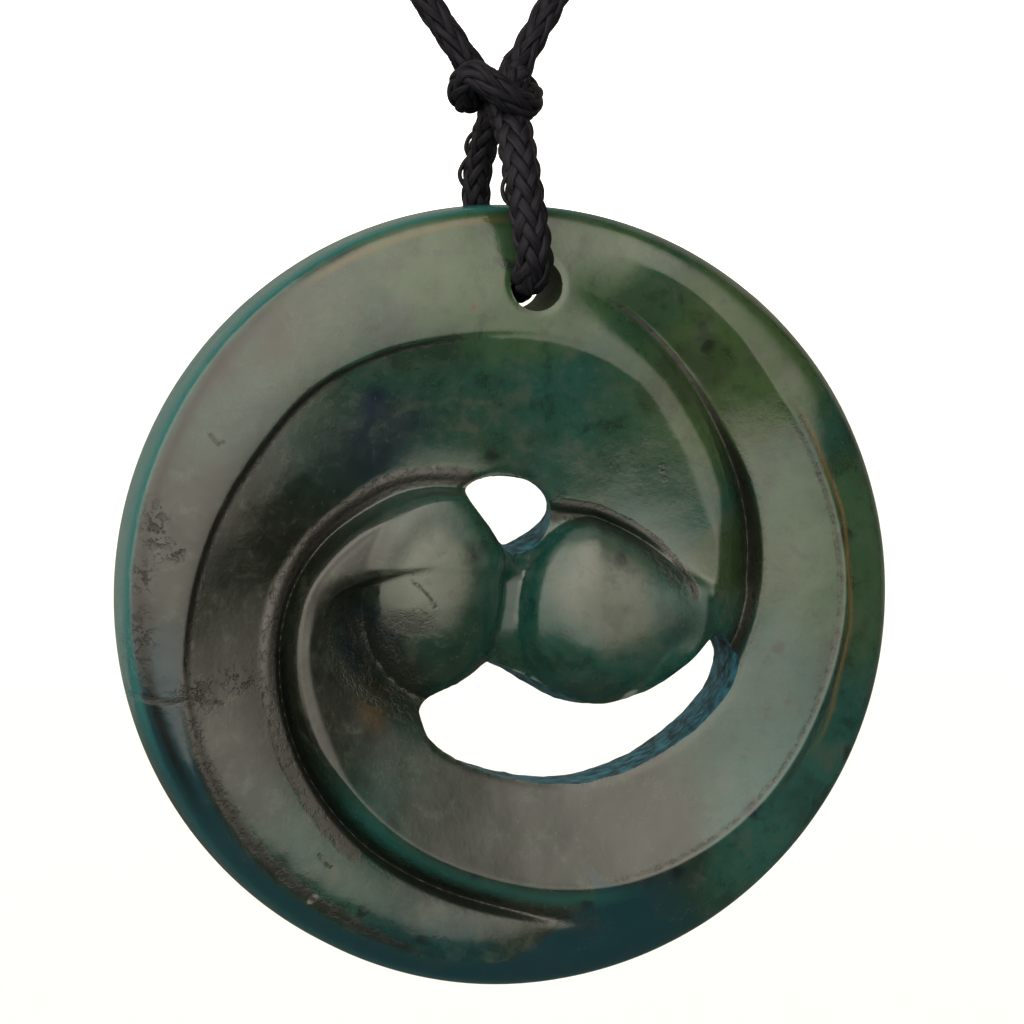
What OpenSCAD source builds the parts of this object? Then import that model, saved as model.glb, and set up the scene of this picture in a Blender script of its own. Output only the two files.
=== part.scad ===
// Koru pendant: a polished greenstone disc, carved in relief with two interlocked spirals and
// cut through in two places, hanging from a black braided cord. Millimetres, +Z up, the carved
// face towards -Y. The origin is where the loop of cord rests on the nape, under its knot.

/* [Stone] */
// Diameter of the disc
disc_d = 50; // [46:1:54]
// Thickness of the disc at its rim
rim_t = 5.2; // [4.8:0.1:5.6]
// Radius of the soft edge round the rim, front and back
edge_r = 0.7; // [0.4:0.1:1]
// Diameter of the drilled hole for the cord
hole_d = 3.4; // [3.2:0.1:3.8]
// How far the sawn walls of the two openings lean in towards the back
saw_lean = 0.25; // [0.1:0.05:0.5]

/* [Cord] */
// Diameter of the braided cord
cord_d = 2.2; // [1.8:0.1:2.3]
// How far the plane of the neck loop leans back from upright, in degrees
loop_lean = 15; // [5:1:25]
// Diameter of the closing knot at the nape
nape_d = 5.6; // [5:0.2:7]
// Length of the closing knot at the nape
nape_l = 10; // [8:1:14]

/* [Detail] */
// Rings of facets from the middle of the stone to its rim
stone_rings = 40; // [24:2:42]
// Facets round the cord
cord_sides = 8; // [8:1:10]

/* [Hidden] */

stone_green = "#3f5f50";
cord_black = "#221f20";

// The tables below are for a disc of 50 mm, and this factor resizes them
size = disc_d / 50;
rim_r = disc_d / 2;

// The two spiral arms, a row for each direction from the middle of the disc. Columns: angle
// anticlockwise from +X; radius and height of the arm's crest; radius and height of the lip at
// the inner edge of its face; how far the face swells (or is scooped, if negative) between the
// two; height of the groove's floor inside the lip; drop just inside and just outside the crest;
// height of the bead along the lip.
arm_right = [
    [-75, 11.0, 4.9, 10.0, 4.9, 0.0, 4.8, 0.0, 0.0, 0.0],
    [-45, 11.2, 5.4, 10.2, 5.4, 0.0, 5.2, 0.0, 0.0, 0.0],
    [-20, 11.9, 5.9, 10.8, 5.8, 0.0, 5.5, 0.0, 0.0, 0.0],
    [0, 12.9, 6.3, 11.6, 6.0, 0.0, 5.6, 0.0, 0.0, 0.1],
    [15, 13.6, 6.5, 10.4, 5.6, -0.2, 4.4, 0.0, 0.0, 0.0],
    [30, 14.4, 6.6, 9.0, 5.1, -0.2, 3.9, 0.0, 0.0, 0.0],
    [45, 15.3, 6.7, 7.8, 4.7, -0.2, 3.7, 0.0, 0.0, 0.0],
    [60, 16.4, 6.8, 6.8, 4.4, -0.2, 3.8, 0.0, 0.0, 0.0],
    [75, 16.9, 6.8, 6.7, 4.3, -0.2, 4.0, 0.0, 0.0, 0.0],
    [105, 17.4, 6.8, 7.6, 4.3, -0.2, 4.1, 0.1, 0.0, 0.1],
    [120, 18.2, 6.8, 8.7, 4.3, -0.2, 4.1, 0.3, 0.0, 0.2],
    [135, 19.0, 6.8, 10.2, 4.3, 0.2, 4.1, 0.5, 0.0, 0.2],
    [150, 19.4, 6.7, 11.6, 4.4, 0.4, 4.1, 0.4, 0.0, 0.2],
    [165, 20.2, 6.5, 13.3, 4.5, 0.3, 4.0, 0.3, 0.0, 0.2],
    [180, 21.1, 6.3, 14.8, 4.8, 0.0, 3.9, 0.2, 0.0, 0.2],
    [195, 22.2, 6.1, 16.0, 5.3, 0.1, 3.9, 0.0, 0.1, 0.1],
    [210, 23.0, 6.1, 17.1, 5.8, 0.3, 3.9, 0.0, 0.4, 0.0],
    [225, 23.4, 6.0, 18.1, 6.1, 0.4, 4.0, 0.0, 0.5, 0.0],
    [240, 23.4, 6.0, 19.0, 6.1, 0.4, 4.1, 0.0, 0.4, 0.0],
    [255, 23.6, 5.8, 19.7, 6.0, 0.3, 4.3, 0.0, 0.3, 0.0],
    [270, 23.1, 5.7, 20.6, 5.9, 0.2, 4.6, 0.0, 0.2, 0.0],
    [285, 22.5, 5.6, 22.2, 5.6, 0.0, 5.2, 0.0, 0.0, 0.0]
];
arm_left = [
    [-276, 6.0, 5.4, 5.0, 4.8, 0.0, 4.8, 0.0, 0.0, 0.0],
    [-246, 7.0, 6.0, 5.4, 5.8, 0.0, 5.8, 0.0, 0.0, 0.0],
    [-216, 9.1, 6.4, 5.6, 6.2, 0.1, 6.2, 0.0, 0.0, 0.0],
    [-200, 10.8, 6.5, 6.4, 6.2, 0.1, 6.0, 0.0, 0.0, 0.0],
    [-190, 12.1, 6.5, 8.8, 6.3, 0.1, 4.0, 0.0, 0.0, 0.0],
    [-182, 13.1, 6.5, 11.6, 6.4, 0.0, 3.8, 0.0, 0.0, 0.0],
    [-174, 13.7, 6.5, 12.5, 6.3, 0.0, 3.8, 0.0, 0.0, 0.0],
    [-165, 14.3, 6.6, 12.7, 6.1, 0.0, 3.9, 0.0, 0.0, 0.0],
    [-150, 15.1, 6.7, 12.0, 5.9, 0.0, 4.0, 0.0, 0.0, 0.0],
    [-135, 15.9, 6.8, 10.6, 5.5, -0.1, 4.2, 0.0, 0.0, 0.0],
    [-115, 16.9, 6.8, 9.9, 5.2, -0.1, 4.4, 0.0, 0.0, 0.0],
    [-96, 17.8, 6.8, 10.7, 5.0, -0.1, 4.4, 0.0, 0.0, 0.0],
    [-66, 19.8, 6.8, 12.3, 5.1, -0.1, 4.4, 0.1, 0.0, 0.0],
    [-40, 20.9, 6.7, 13.8, 5.4, 0.0, 4.2, 0.1, 0.0, 0.0],
    [-20, 21.3, 6.6, 15.2, 5.8, 0.1, 4.0, 0.1, 0.0, 0.0],
    [0, 21.7, 6.5, 16.2, 5.9, 0.1, 3.9, 0.2, 0.0, 0.0],
    [22, 21.7, 6.4, 17.2, 5.5, 0.1, 3.9, 0.0, 0.0, 0.0],
    [37, 21.6, 6.4, 17.8, 4.9, 0.0, 4.3, 0.0, 0.0, 0.0],
    [50, 22.2, 6.5, 18.6, 4.9, 0.0, 4.8, 0.0, 0.0, 0.0],
    [65, 22.8, 6.5, 19.8, 5.2, 0.0, 5.2, 0.0, 0.0, 0.0],
    [84, 22.9, 6.3, 21.2, 5.6, 0.0, 5.5, 0.0, 0.0, 0.0]
];
// Width of the steep side of a groove, under the lip, and of the drops beside a crest
wall_w = 0.6;
drop_w = 0.4;
// Width of the bead along a lip
bead_w = 1;
// Over how many degrees an arm's pointed tail rises from nothing
tail_span = 24;

// The two ball ends: middle across and up; reach to the left, right, down and up; height of the
// top; how much narrower they get with each millimetre to the right
balls = [
    [-4.7, 1.0, 5.0, 4.3, 7.4, 6.0, 7.2, 0],
    [5.6, -1.0, 5.0, 11.0, 6.2, 6.0, 7.2, 0.06]
];
ball_foot = 3.6;
ball_blend = 0.6;
// Height of the stone between the two balls
middle_h = 4.4;

// Outlines of the openings on the carved face. Columns: across, up, and how smoothly the line
// turns at the point, from 0 for a corner to 1.
top_opening = [
    [-1.7, 4.6, 1], [-0.7, 3.1, 0.5], [0.3, 2.4, 0.8], [1.7, 2.8, 1], [2.4, 4.2, 1],
    [2.6, 5.8, 1], [1.6, 7.3, 1], [-0.5, 7.9, 1], [-2.4, 7.5, 1], [-3.1, 6.6, 1]
];
crescent = [
    [-1.1, -4.0, 0], [-3.4, -5.3, 1], [-5.3, -6.4, 1], [-5.9, -7.6, 1], [-5.1, -9.3, 1],
    [-3.1, -10.6, 1], [-0.4, -11.5, 1], [2.3, -12.0, 1], [5.1, -11.9, 1], [8.6, -10.8, 1],
    [12.0, -8.6, 1], [14.2, -6.1, 1], [14.8, -3.9, 1], [14.1, -2.7, 1], [12.9, -2.8, 1],
    [11.4, -4.4, 1], [9.0, -6.0, 1], [6.0, -6.9, 1], [3.5, -6.3, 1], [1.2, -5.0, 1]
];
// Points put on the outline between two of its own
outline_steps = 3;
// How much lower the outlines lie on the back of the stone
saw_sink = 0.1;
// How far a cutting form stands past the stone, front and back
cut_past = 2;

// The drilled hole, across and up from the middle of the disc
hole_at = [1.3 * size, 20 * size];

// Middle of the disc on its back face, under the point where the two sides of the cord part
fork_s = 187.5;
fork_y = -fork_s * sin(loop_lean);
fork_z = nape_d / 2 - fork_s * cos(loop_lean);
disc_at = [0.6, fork_y + 3.2, fork_z - 11.35 - 20 * size];

// The cord's way from the knot down the front, through the hole and up the back: across,
// towards the back, and up from the middle of the disc's back face, on a 50 mm disc
loop_route = [
    [0.1, -4.9, 30.0], [0.1, -6.0, 28.8], [0.2, -7.0, 27.0], [0.4, -7.7, 24.8], [0.7, -7.9, 22.6],
    [0.9, -7.7, 21.4], [1.1, -7.0, 20.6], [1.1, -5.8, 20.4], [1.1, -3.2, 20.4], [1.1, -0.6, 20.4],
    [1.1, 0.6, 20.5], [1.0, 1.4, 21.2], [0.7, 1.6, 22.4], [0.1, 1.6, 24.6], [-0.5, 1.5, 26.6],
    [-0.8, 0.9, 28.2], [-0.9, -0.8, 29.8]
];
// The left side of the neck loop, from the front knot to the nape: across, and down the
// leaning plane from the nape. The right side is its mirror image, but starts closer in.
left_start = [-1.8, 184.5];
right_start = [-1.5, 185];
neck_route = [
    [-12, 167.7], [-22, 151.2], [-33, 133], [-44, 114.8], [-54, 98.3], [-60.2, 86],
    [-63.2, 75], [-64, 64], [-62, 47.6], [-55.6, 32], [-45.4, 18.8], [-32, 8.6], [-17, 2.2], [-5.3, 0.2]
];
// Rings of facets along a route, for each of its points
ring_steps = 2;

// The knot's turns of cord: two ends of each, from the middle of the disc's back face, and radius
knot_turns = [
    [[-2.5, -4.3, 33.2], [0.5, -4.6, 31.7], 1.25],
    [[-2.5, -3.0, 32.4], [0.4, -2.6, 32.2], 1.3],
    [[0.5, -3.4, 32.5], [0.1, -2.2, 31.8], 1.2]
];

// Rows of a table, smoothed, and shapes worked out from them

function mix(a, b, t) = a + (b - a) * t;
function clamp01(t) = max(0, min(1, t));
function ease(t) = clamp01(t) * clamp01(t) * (3 - 2 * clamp01(t));
function segment(t, a, i = 0) = i >= len(t) - 2 || a < t[i + 1][0] ? i : segment(t, a, i + 1);
function row_slope(t, i) = let(lo = max(0, i - 1), hi = min(len(t) - 1, i + 1))
    (t[hi] - t[lo]) / (t[hi][0] - t[lo][0]);
function hermite(p, q, m, n, u) =
    (2 * u * u * u - 3 * u * u + 1) * p + (u * u * u - 2 * u * u + u) * m
    + (3 * u * u - 2 * u * u * u) * q + (u * u * u - u * u) * n;
function row_at(t, a) = let(i = segment(t, a), w = t[i + 1][0] - t[i][0])
    hermite(t[i], t[i + 1], w * row_slope(t, i), w * row_slope(t, i + 1), (a - t[i][0]) / w);

// A smoothed row of each arm for every whole degree of its turn, from its inner end outwards
right_rows = [for (d = [0:360]) row_at(arm_right, -75 + d)];
left_rows = [for (d = [0:360]) row_at(arm_left, -276 + d)];
function turn(a, from) = let(t = a - from) t - 360 * floor(t / 360);
function arm(rows, a, from) = let(t = turn(a, from), i = min(359, floor(t)))
    mix(rows[i], rows[i + 1], t - i);

// 1 between two directions, fading out over a span at both ends
function window(a, from, to, soft) = let(gone = turn(a, from - soft))
    ease(gone / soft) * ease((to - from + 2 * soft - gone) / soft);

// Height of an arm at a radius: its crest, a line or a band that is flat for a width to both
// sides, the slope outside it that ends at a foot, rounded, full or nearly straight, its face
// down to the lip, and the wall and floor inside
function arm_height(a, r, foot_r, foot_h, wall, straight, flat, full) =
    r >= a[1] ? let(out = pow(clamp01((r - a[1] - flat) / (foot_r - a[1] - flat)), full))
        foot_h + (a[2] - foot_h - a[8] * ease((r - a[1]) / drop_w))
        * mix(cos(90 * out), 1 - out, straight)
    : r >= a[3] ? let(u = (r - a[3]) / (a[1] - a[3]), rise = min(1, (r - a[3]) / (a[1] - a[3] - flat)))
        mix(a[4], a[2] - a[7] * ease((a[1] - r) / drop_w), rise) + a[5] * 4 * u * (1 - u)
        + a[9] * sin(180 * clamp01((r - a[3]) / bead_w))
    : let(up = clamp01(1 - (a[3] - r) / wall))
        mix(a[6], a[4], mix(ease(up), pow(up, 1.15), ease((wall - 0.8) / 1.5)));

// Which arm is the outer one in a direction, and the height where both are there. Low on the
// left the inner arm has no lip, and its face is scooped down to the hollow. Up on the right
// one crest is a flat band and the other a full shoulder, and at the bottom a slope is straight.
function relief(r, a) = let(
        outer_is_right = turn(a, 84) < 201,
        right = arm(right_rows, a, -75),
        left = arm(left_rows, a, -276),
        outer = outer_is_right ? right : left,
        inner = outer_is_right ? left : right,
        tail = outer_is_right ? turn(285 - a, 0) : turn(84 - a, 0),
        scoop = wall_w + 4.8 * ease(1.3 - 1.3 * abs(turn(a, 0) - 202) / 42),
        right_flat = 0.6 * window(a, 28, 92, 16),
        left_flat = 0.35 * window(a, 160, 215, 15),
        left_full = 1 + 1.5 * window(a, 36, 84, 14),
        left_straight = 0.85 * window(a, -110, 12, 25),
        inner_flat = outer_is_right ? left_flat : right_flat,
        inner_full = outer_is_right ? left_full : 1,
        inner_straight = outer_is_right ? left_straight : 0,
        outer_flat = outer_is_right ? right_flat : left_flat,
        outer_full = outer_is_right ? 1 : left_full,
        outer_straight = outer_is_right ? 0 : left_straight,
        alone = arm_height(inner, r, 25, rim_t - 0.4 * inner_straight, scoop, inner_straight,
            inner_flat, inner_full),
        foot = outer[3] - wall_w,
        both = r >= foot ? arm_height(outer, r, 25, rim_t - 0.4 * outer_straight, wall_w,
                outer_straight, outer_flat, outer_full)
            : arm_height(inner, r, max(foot, inner[1] + inner_flat + 0.01), outer[6], scoop, 0,
                inner_flat, inner_full)
    ) mix(alone, both, ease(tail / tail_span));

// A ball end: how far out on it a place is, from 0 at its middle to 1 at its edge, and its height
function ball_reach(b, x, z) = let(narrow = max(0.4, min(1, 1 - b[7] * (x - b[0]))))
    norm([(x - b[0]) / (x < b[0] ? b[2] : b[3]), (z - b[1]) / narrow / (z < b[1] ? b[4] : b[5])]);
function ball_height(b, d, r) = let(top = b[6] - 3 * ease((r - 12.5) / 2))
    d >= 1 ? ball_foot - 3 * (d - 1) : ball_foot + (top - ball_foot) * sqrt(1 - pow(d, 2.6));

// How two heights flow into each other, and a ball put on what is there
function flow(a, b, width) = let(t = max(0, width - abs(a - b)) / width)
    max(a, b) + t * t * width / 4;
function with_ball(h, b, grown, core, r, x, z) = let(
        d = ball_reach(b, x, z),
        ball = ball_height(b, d, r)
    ) mix(flow(h, ball, ball_blend + 2.2 * grown),
        flow(h - 0.8 * (1 - grown), ball, 0.02 + core * grown), ease((0.92 - d) / 0.4));

// Height of the carved face above the back, at a radius and angle on a 50 mm disc. The first
// ball grows out of the arm above it, the second out of the arm on its right, a hollow runs
// between the first and the arm that curls round it, and between the two balls the floor falls
// away towards the lower opening.
function face_height(r, a) = let(
        x = r * cos(a),
        z = r * sin(a),
        edge = min(edge_r, max(0, r - 25 + edge_r)),
        arms = mix(middle_h, relief(r, a), ease((r - 1) / 2)),
        along = 0.64 * (x + 7.9) - 0.77 * (z + 4.2),
        across = 0.77 * (x + 7.9) + 0.64 * (z + 4.2),
        hollow = 1.3 * exp(-pow(along / 4.2, 2) - pow(across / 1.5, 2)),
        low = max(0, min(3, -1.7 - z)),
        valley = 0.13 * low * low * ease((z + 9) / 2) * exp(-pow((x - 0.3) / 2.2, 2)),
        first = with_ball(arms - hollow - valley, balls[0], ease((z - 0.7) / 1.3), 1.4, r, x, z),
        grown = ease((x - 7.4) / 2) * ease((1.5 - z) / 1.5)
    ) with_ball(first, balls[1], grown, 0, r, x, z) - edge_r + sqrt(edge_r * edge_r - edge * edge);

// Facets of the carved face lie on rings, and those beside a crest or a lip are drawn on to it
step_r = 25 / stone_rings;
function drawn_to(r, lines, i = 0) = i >= len(lines) ? r
    : abs(r - lines[i]) < step_r / 2 ? lines[i] : drawn_to(r, lines, i + 1);
function ring_r(k, a) = k == stone_rings || k < 8 ? k * step_r
    : let(right = arm(right_rows, a, -75), left = arm(left_rows, a, -276))
        min(25 - step_r * 0.6, drawn_to(k * step_r,
            [right[3], left[3], right[3] - step_r, left[3] - step_r, right[1], left[1]]));
function face_point(k, i) = let(a = k == 0 ? 0 : 360 * i / (6 * k), r = ring_r(k, a))
    [size * r * cos(a), -face_height(r, a), size * r * sin(a)];
function ring_start(k) = k == 0 ? 0 : 1 + 3 * k * (k - 1);
function ring_index(k, i) = k == 0 ? 0 : ring_start(k) + i % (6 * k);

module carved_blank() {
    n = 6 * stone_rings;
    face = [for (k = [0:stone_rings]) each [for (i = [0:max(0, 6 * k - 1)]) face_point(k, i)]];
    wall = [for (j = [0:1]) each [for (i = [0:n - 1]) let(a = 360 * i / n, r = rim_r - j * edge_r)
        [r * cos(a), (j - 1) * edge_r, r * sin(a)]]];
    last = ring_start(stone_rings);
    first_wall = last + n;
    polyhedron(concat(face, wall), concat(
        [for (k = [1:stone_rings]) each [for (s = [0:5]) each [for (i = [0:k - 1])
            [ring_index(k, s * k + i), ring_index(k - 1, s * (k - 1) + i), ring_index(k, s * k + i + 1)]]]],
        [for (k = [2:stone_rings]) each [for (s = [0:5]) each [for (i = [0:k - 2])
            [ring_index(k, s * k + i + 1), ring_index(k - 1, s * (k - 1) + i),
             ring_index(k - 1, s * (k - 1) + i + 1)]]]],
        [for (i = [0:n - 1]) [last + i, last + (i + 1) % n, first_wall + (i + 1) % n, first_wall + i]],
        [for (i = [0:n - 1])
            [first_wall + i, first_wall + (i + 1) % n, first_wall + n + (i + 1) % n, first_wall + n + i]],
        [[for (i = [0:n - 1]) first_wall + n + i]]
    ), convexity = 8);
}

// A closed smooth line through an outline's points, and a cutting form that leans along it
function outline(t) = let(n = len(t)) [for (i = [0:n - 1]) each [for (s = [0:outline_steps - 1])
    let(p = t[(i + n - 1) % n], q = t[i], r = t[(i + 1) % n], w = t[(i + 2) % n])
    let(at = hermite(q, r, q[2] * (r - p) / 2, r[2] * (w - q) / 2, s / outline_steps))
    [at[0], at[1]]]];
function inward(p, q) = [p[1] - q[1], q[0] - p[0]] / norm(q - p);
module saw_cut(table) {
    front = outline(table);
    n = len(front);
    back = [for (i = [0:n - 1])
        front[i] + saw_lean * inward(front[(i + n - 1) % n], front[(i + 1) % n]) - [0, saw_sink]];
    grow = cut_past / rim_t;
    outer = [for (i = [0:n - 1]) mix(back[i], front[i], 1 + grow)];
    inner = [for (i = [0:n - 1]) mix(back[i], front[i], -grow)];
    polyhedron(concat(
        [for (p = outer) [size * p[0], -rim_t - cut_past, size * p[1]]],
        [for (p = inner) [size * p[0], cut_past, size * p[1]]]
    ), concat(
        [[for (i = [n - 1:-1:0]) i]],
        [[for (i = [0:n - 1]) n + i]],
        [for (i = [0:n - 1]) [i, (i + 1) % n, n + (i + 1) % n, n + i]]
    ), convexity = 6);
}

module koru_disc() {
    color(stone_green) translate(disc_at) difference() {
        carved_blank();
        saw_cut(top_opening);
        saw_cut(crescent);
        translate([hole_at[0], cut_past, hole_at[1]]) rotate([90, 0, 0])
            cylinder(d = hole_d, h = rim_t + 3 * cut_past, $fn = 64);
    }
}

// Points of a smooth cord through a route, and the tube swept along them
function route_points(t) = let(n = len(t)) concat(
    [for (i = [0:n - 2]) each [for (s = [0:ring_steps - 1])
        let(p = t[max(0, i - 1)], q = t[i], r = t[i + 1], w = t[min(n - 1, i + 2)])
        hermite(q, r, (r - p) / (i == 0 ? 1 : 2), (w - q) / (i == n - 2 ? 1 : 2), s / ring_steps)]],
    [t[n - 1]]);
function unit(v) = v / norm(v);
function turned(side, along) = unit(side - (side * along) * along);
function sides_of(p, i = 0, side = [0, 1, 0]) = i >= len(p) ? []
    : let(along = unit(p[min(len(p) - 1, i + 1)] - p[max(0, i - 1)]), s = turned(side, along))
        concat([[s, cross(along, s)]], sides_of(p, i + 1, s));
module cord_tube(points, side) {
    n = len(points);
    m = cord_sides;
    across = sides_of(points, 0, side);
    polyhedron(
        [for (i = [0:n - 1]) each [for (j = [0:m - 1]) let(a = 360 * (j + 0.5) / m)
            points[i] + cord_d / 2 * (cos(a) * across[i][0] + sin(a) * across[i][1])]],
        concat(
            [[for (j = [0:m - 1]) j]],
            [[for (j = [m - 1:-1:0]) (n - 1) * m + j]],
            [for (i = [0:n - 2]) each [for (j = [0:m - 1])
                [i * m + j, (i + 1) * m + j, (i + 1) * m + (j + 1) % m, i * m + (j + 1) % m]]]
        ), convexity = 6);
}

module pendant_loop() {
    route = [for (p = loop_route) [p[0], p[1], p[2] + 20 * (size - 1)]];
    color(cord_black) translate(disc_at) cord_tube(route_points(route), [1, 0, 0]);
}

module front_knot() {
    color(cord_black) translate(disc_at + [0, 0, 20 * (size - 1)]) union() {
        for (t = knot_turns) hull() {
            translate(t[0]) sphere(r = t[2], $fn = 16);
            translate(t[1]) sphere(r = t[2], $fn = 16);
        }
    }
}

module neck_side(start) {
    route = [for (p = concat([start], neck_route))
        [p[0], -p[1] * sin(loop_lean), nape_d / 2 - p[1] * cos(loop_lean)]];
    cord_tube(route_points(route), [0, 1, 0]);
}

module neck_cord_left() {
    color(cord_black) neck_side(left_start);
}

module neck_cord_right() {
    color(cord_black) mirror([1, 0, 0]) neck_side(right_start);
}

// Rounded barrel of the closing knot, lying along the cord at the nape
module nape_knot() {
    end_r = nape_d / 4;
    color(cord_black) translate([0, 0, nape_d / 2]) rotate([0, 90, 0]) rotate_extrude($fn = 40)
        difference() {
            union() {
                translate([0, -nape_l / 2]) square([nape_d / 2 - end_r, nape_l]);
                translate([0, -nape_l / 2 + end_r]) square([nape_d / 2, nape_l - 2 * end_r]);
                for (s = [-1, 1]) translate([nape_d / 2 - end_r, s * (nape_l / 2 - end_r)])
                    circle(r = end_r, $fn = 32);
            }
            translate([-nape_d, -nape_l]) square([nape_d, 2 * nape_l]);
        }
}

koru_disc();
pendant_loop();
front_knot();
neck_cord_left();
neck_cord_right();
nape_knot();
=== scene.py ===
import math

import bpy
import numpy as np
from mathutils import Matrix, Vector, noise


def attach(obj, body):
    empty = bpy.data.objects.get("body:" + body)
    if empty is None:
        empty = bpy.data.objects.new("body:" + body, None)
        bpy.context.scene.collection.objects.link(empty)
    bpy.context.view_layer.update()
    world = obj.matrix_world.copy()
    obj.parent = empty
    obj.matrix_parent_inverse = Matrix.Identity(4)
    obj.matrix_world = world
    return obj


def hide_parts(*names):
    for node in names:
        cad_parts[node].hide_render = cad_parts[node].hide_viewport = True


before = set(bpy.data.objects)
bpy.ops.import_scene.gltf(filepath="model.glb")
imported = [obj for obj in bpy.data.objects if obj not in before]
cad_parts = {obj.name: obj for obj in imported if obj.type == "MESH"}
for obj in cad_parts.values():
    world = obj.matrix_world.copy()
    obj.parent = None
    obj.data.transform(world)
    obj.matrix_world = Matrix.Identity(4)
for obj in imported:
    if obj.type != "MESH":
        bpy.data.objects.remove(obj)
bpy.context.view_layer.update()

# Everything below is worked out in millimetres, in the pendant's own frame, and turned to
# metres where a mesh is made.
MM = 0.001


def hex_colour(code):
    """An sRGB hex colour as the linear colour that shaders use."""
    parts = [int(code[i:i + 2], 16) / 255 for i in (1, 3, 5)]
    return tuple(c / 12.92 if c <= 0.04045 else ((c + 0.055) / 1.055) ** 2.4
                 for c in parts) + (1.0,)


def add_node(tree, kind, links=(), **settings):
    """A node with its settings, and links given as input: value, node or (node, output)."""
    made = tree.nodes.new(kind)
    for name, value in settings.items():
        setattr(made, name, value)
    for where, value in dict(links).items():
        socket = made.inputs[where]
        if isinstance(value, bpy.types.Node):
            tree.links.new(value.outputs[0], socket)
        elif isinstance(value, tuple) and value and isinstance(value[0], bpy.types.Node):
            tree.links.new(value[0].outputs[value[1]], socket)
        else:
            socket.default_value = value
    return made


# Where things hang: the closing knot rests on the nape, and the loop leans back from there down
# to the fork, where its two sides meet in the front knot. The stone's middle lies below it.

LOOP_LEAN = math.radians(15)
NAPE_D = 5.6
FORK_DOWN = 187.5
FORK = np.array([0.0, -FORK_DOWN * math.sin(LOOP_LEAN),
                 NAPE_D / 2 - FORK_DOWN * math.cos(LOOP_LEAN)])
DISC = FORK + np.array([0.6, 3.2, -31.35])
# The stone's radius, its thickness at the rim, and how far its back edge is rounded
DISC_R, RIM_T, EDGE_R = 25.0, 5.2, 0.7


# Camera, at the photograph's angle: from a little to the left of the stone and just above it

VIEW_TURN, VIEW_RISE = math.radians(-13), math.radians(3)
FRAME_WIDTH, CAMERA_AWAY, SENSOR = 65.2, 520.0, 36
aim = DISC + np.array([-0.2, -6.0, 5.5])
towards = np.array([math.sin(VIEW_TURN) * math.cos(VIEW_RISE),
                    -math.cos(VIEW_TURN) * math.cos(VIEW_RISE), math.sin(VIEW_RISE)])
lens = bpy.data.cameras.new("photo_camera")
lens.sensor_width = SENSOR
lens.lens = SENSOR * CAMERA_AWAY / FRAME_WIDTH
lens.clip_start, lens.clip_end = 0.01, 20
camera = bpy.data.objects.new("photo_camera", lens)
bpy.context.collection.objects.link(camera)
camera.location = Vector((aim + towards * CAMERA_AWAY) * MM)
camera.rotation_euler = Vector(-towards).to_track_quat("-Z", "Y").to_euler()
bpy.context.scene.camera = camera


# The cord's one long centre line: down the right side of the neck, through the front knot,
# down the front of the stone, through the drilled hole, up the back, round the knot, and up
# the left side of the neck

# Across, and down the leaning plane of the loop
NECK_ROUTE = [(-12, 167.7), (-22, 151.2), (-33, 133), (-44, 114.8), (-54, 98.3), (-60.2, 86),
              (-63.2, 75), (-64, 64), (-62, 47.6), (-55.6, 32), (-45.4, 18.8), (-32, 8.6),
              (-17, 2.2), (-5.3, 0.2)]
LEFT_START, RIGHT_START = (-1.8, 184.5), (-1.5, 185)
# From the middle of the stone's back: across, back and up
LOOP_ROUTE = [(0.1, -4.9, 30.0), (0.1, -6.0, 28.8), (0.2, -7.0, 27.0), (0.4, -7.7, 24.8),
              (0.7, -7.9, 22.6), (0.85, -7.7, 21.4), (0.75, -7.0, 20.5), (0.7, -5.8, 19.9),
              (0.8, -3.2, 19.35), (0.9, -0.8, 19.6), (0.9, 0.6, 20.2), (0.8, 1.4, 21.2),
              (0.3, 1.6, 22.4), (-0.7, 1.6, 24.4), (-0.8, 1.5, 26.4), (-0.6, 1.0, 28.2),
              (-0.4, -0.1, 29.8)]
# Inside the knot: the right side goes nearly straight through, behind the left side's one turn
KNOT_CORE = [(1.0, -2.5, 33.5), (0.3, -2.9, 32.6), (-0.2, -3.3, 31.6), (0.0, -4.1, 30.7)]
KNOT_TURN = [(-0.2, -0.9, 31.0), (0.5, -0.7, 32.0), (1.2, -1.9, 32.5), (1.5, -3.4, 31.9),
             (0.9, -4.8, 31.3), (-0.2, -5.4, 31.8), (-1.4, -5.4, 32.7), (-2.3, -4.8, 33.3),
             (-2.8, -3.6, 32.8), (-2.6, -2.3, 32.0), (-1.9, -1.2, 31.8), (-1.5, -1.1, 32.9)]
# Yarns that wear has pulled out of the braid, on the left of the loop's back leg and front leg
LOOSENED = [[(-0.5, 1.3, 29.9), (-1.2, 1.5, 29.4), (-1.5, 1.5, 28.7), (-1.3, 1.5, 28.1),
             (-0.8, 1.4, 27.7)],
            [(-0.9, 1.5, 28.3), (-1.5, 1.6, 27.8), (-1.9, 1.6, 27.0), (-1.7, 1.5, 26.3),
             (-1.1, 1.5, 25.9)],
            [(-0.2, -7.4, 27.6), (-0.8, -7.4, 27.0), (-1.15, -7.4, 26.2), (-1.0, -7.5, 25.4),
             (-0.4, -7.6, 24.9)]]


def on_loop_plane(points, mirror=1):
    """Places in the leaning plane of the neck loop, on its left side or mirrored."""
    return [np.array([mirror * x, -s * math.sin(LOOP_LEAN), NAPE_D / 2 - s * math.cos(LOOP_LEAN)])
            for x, s in points]


def in_disc(points):
    """Places that are given from the middle of the stone's back."""
    return [DISC + np.array(p) for p in points]


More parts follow.
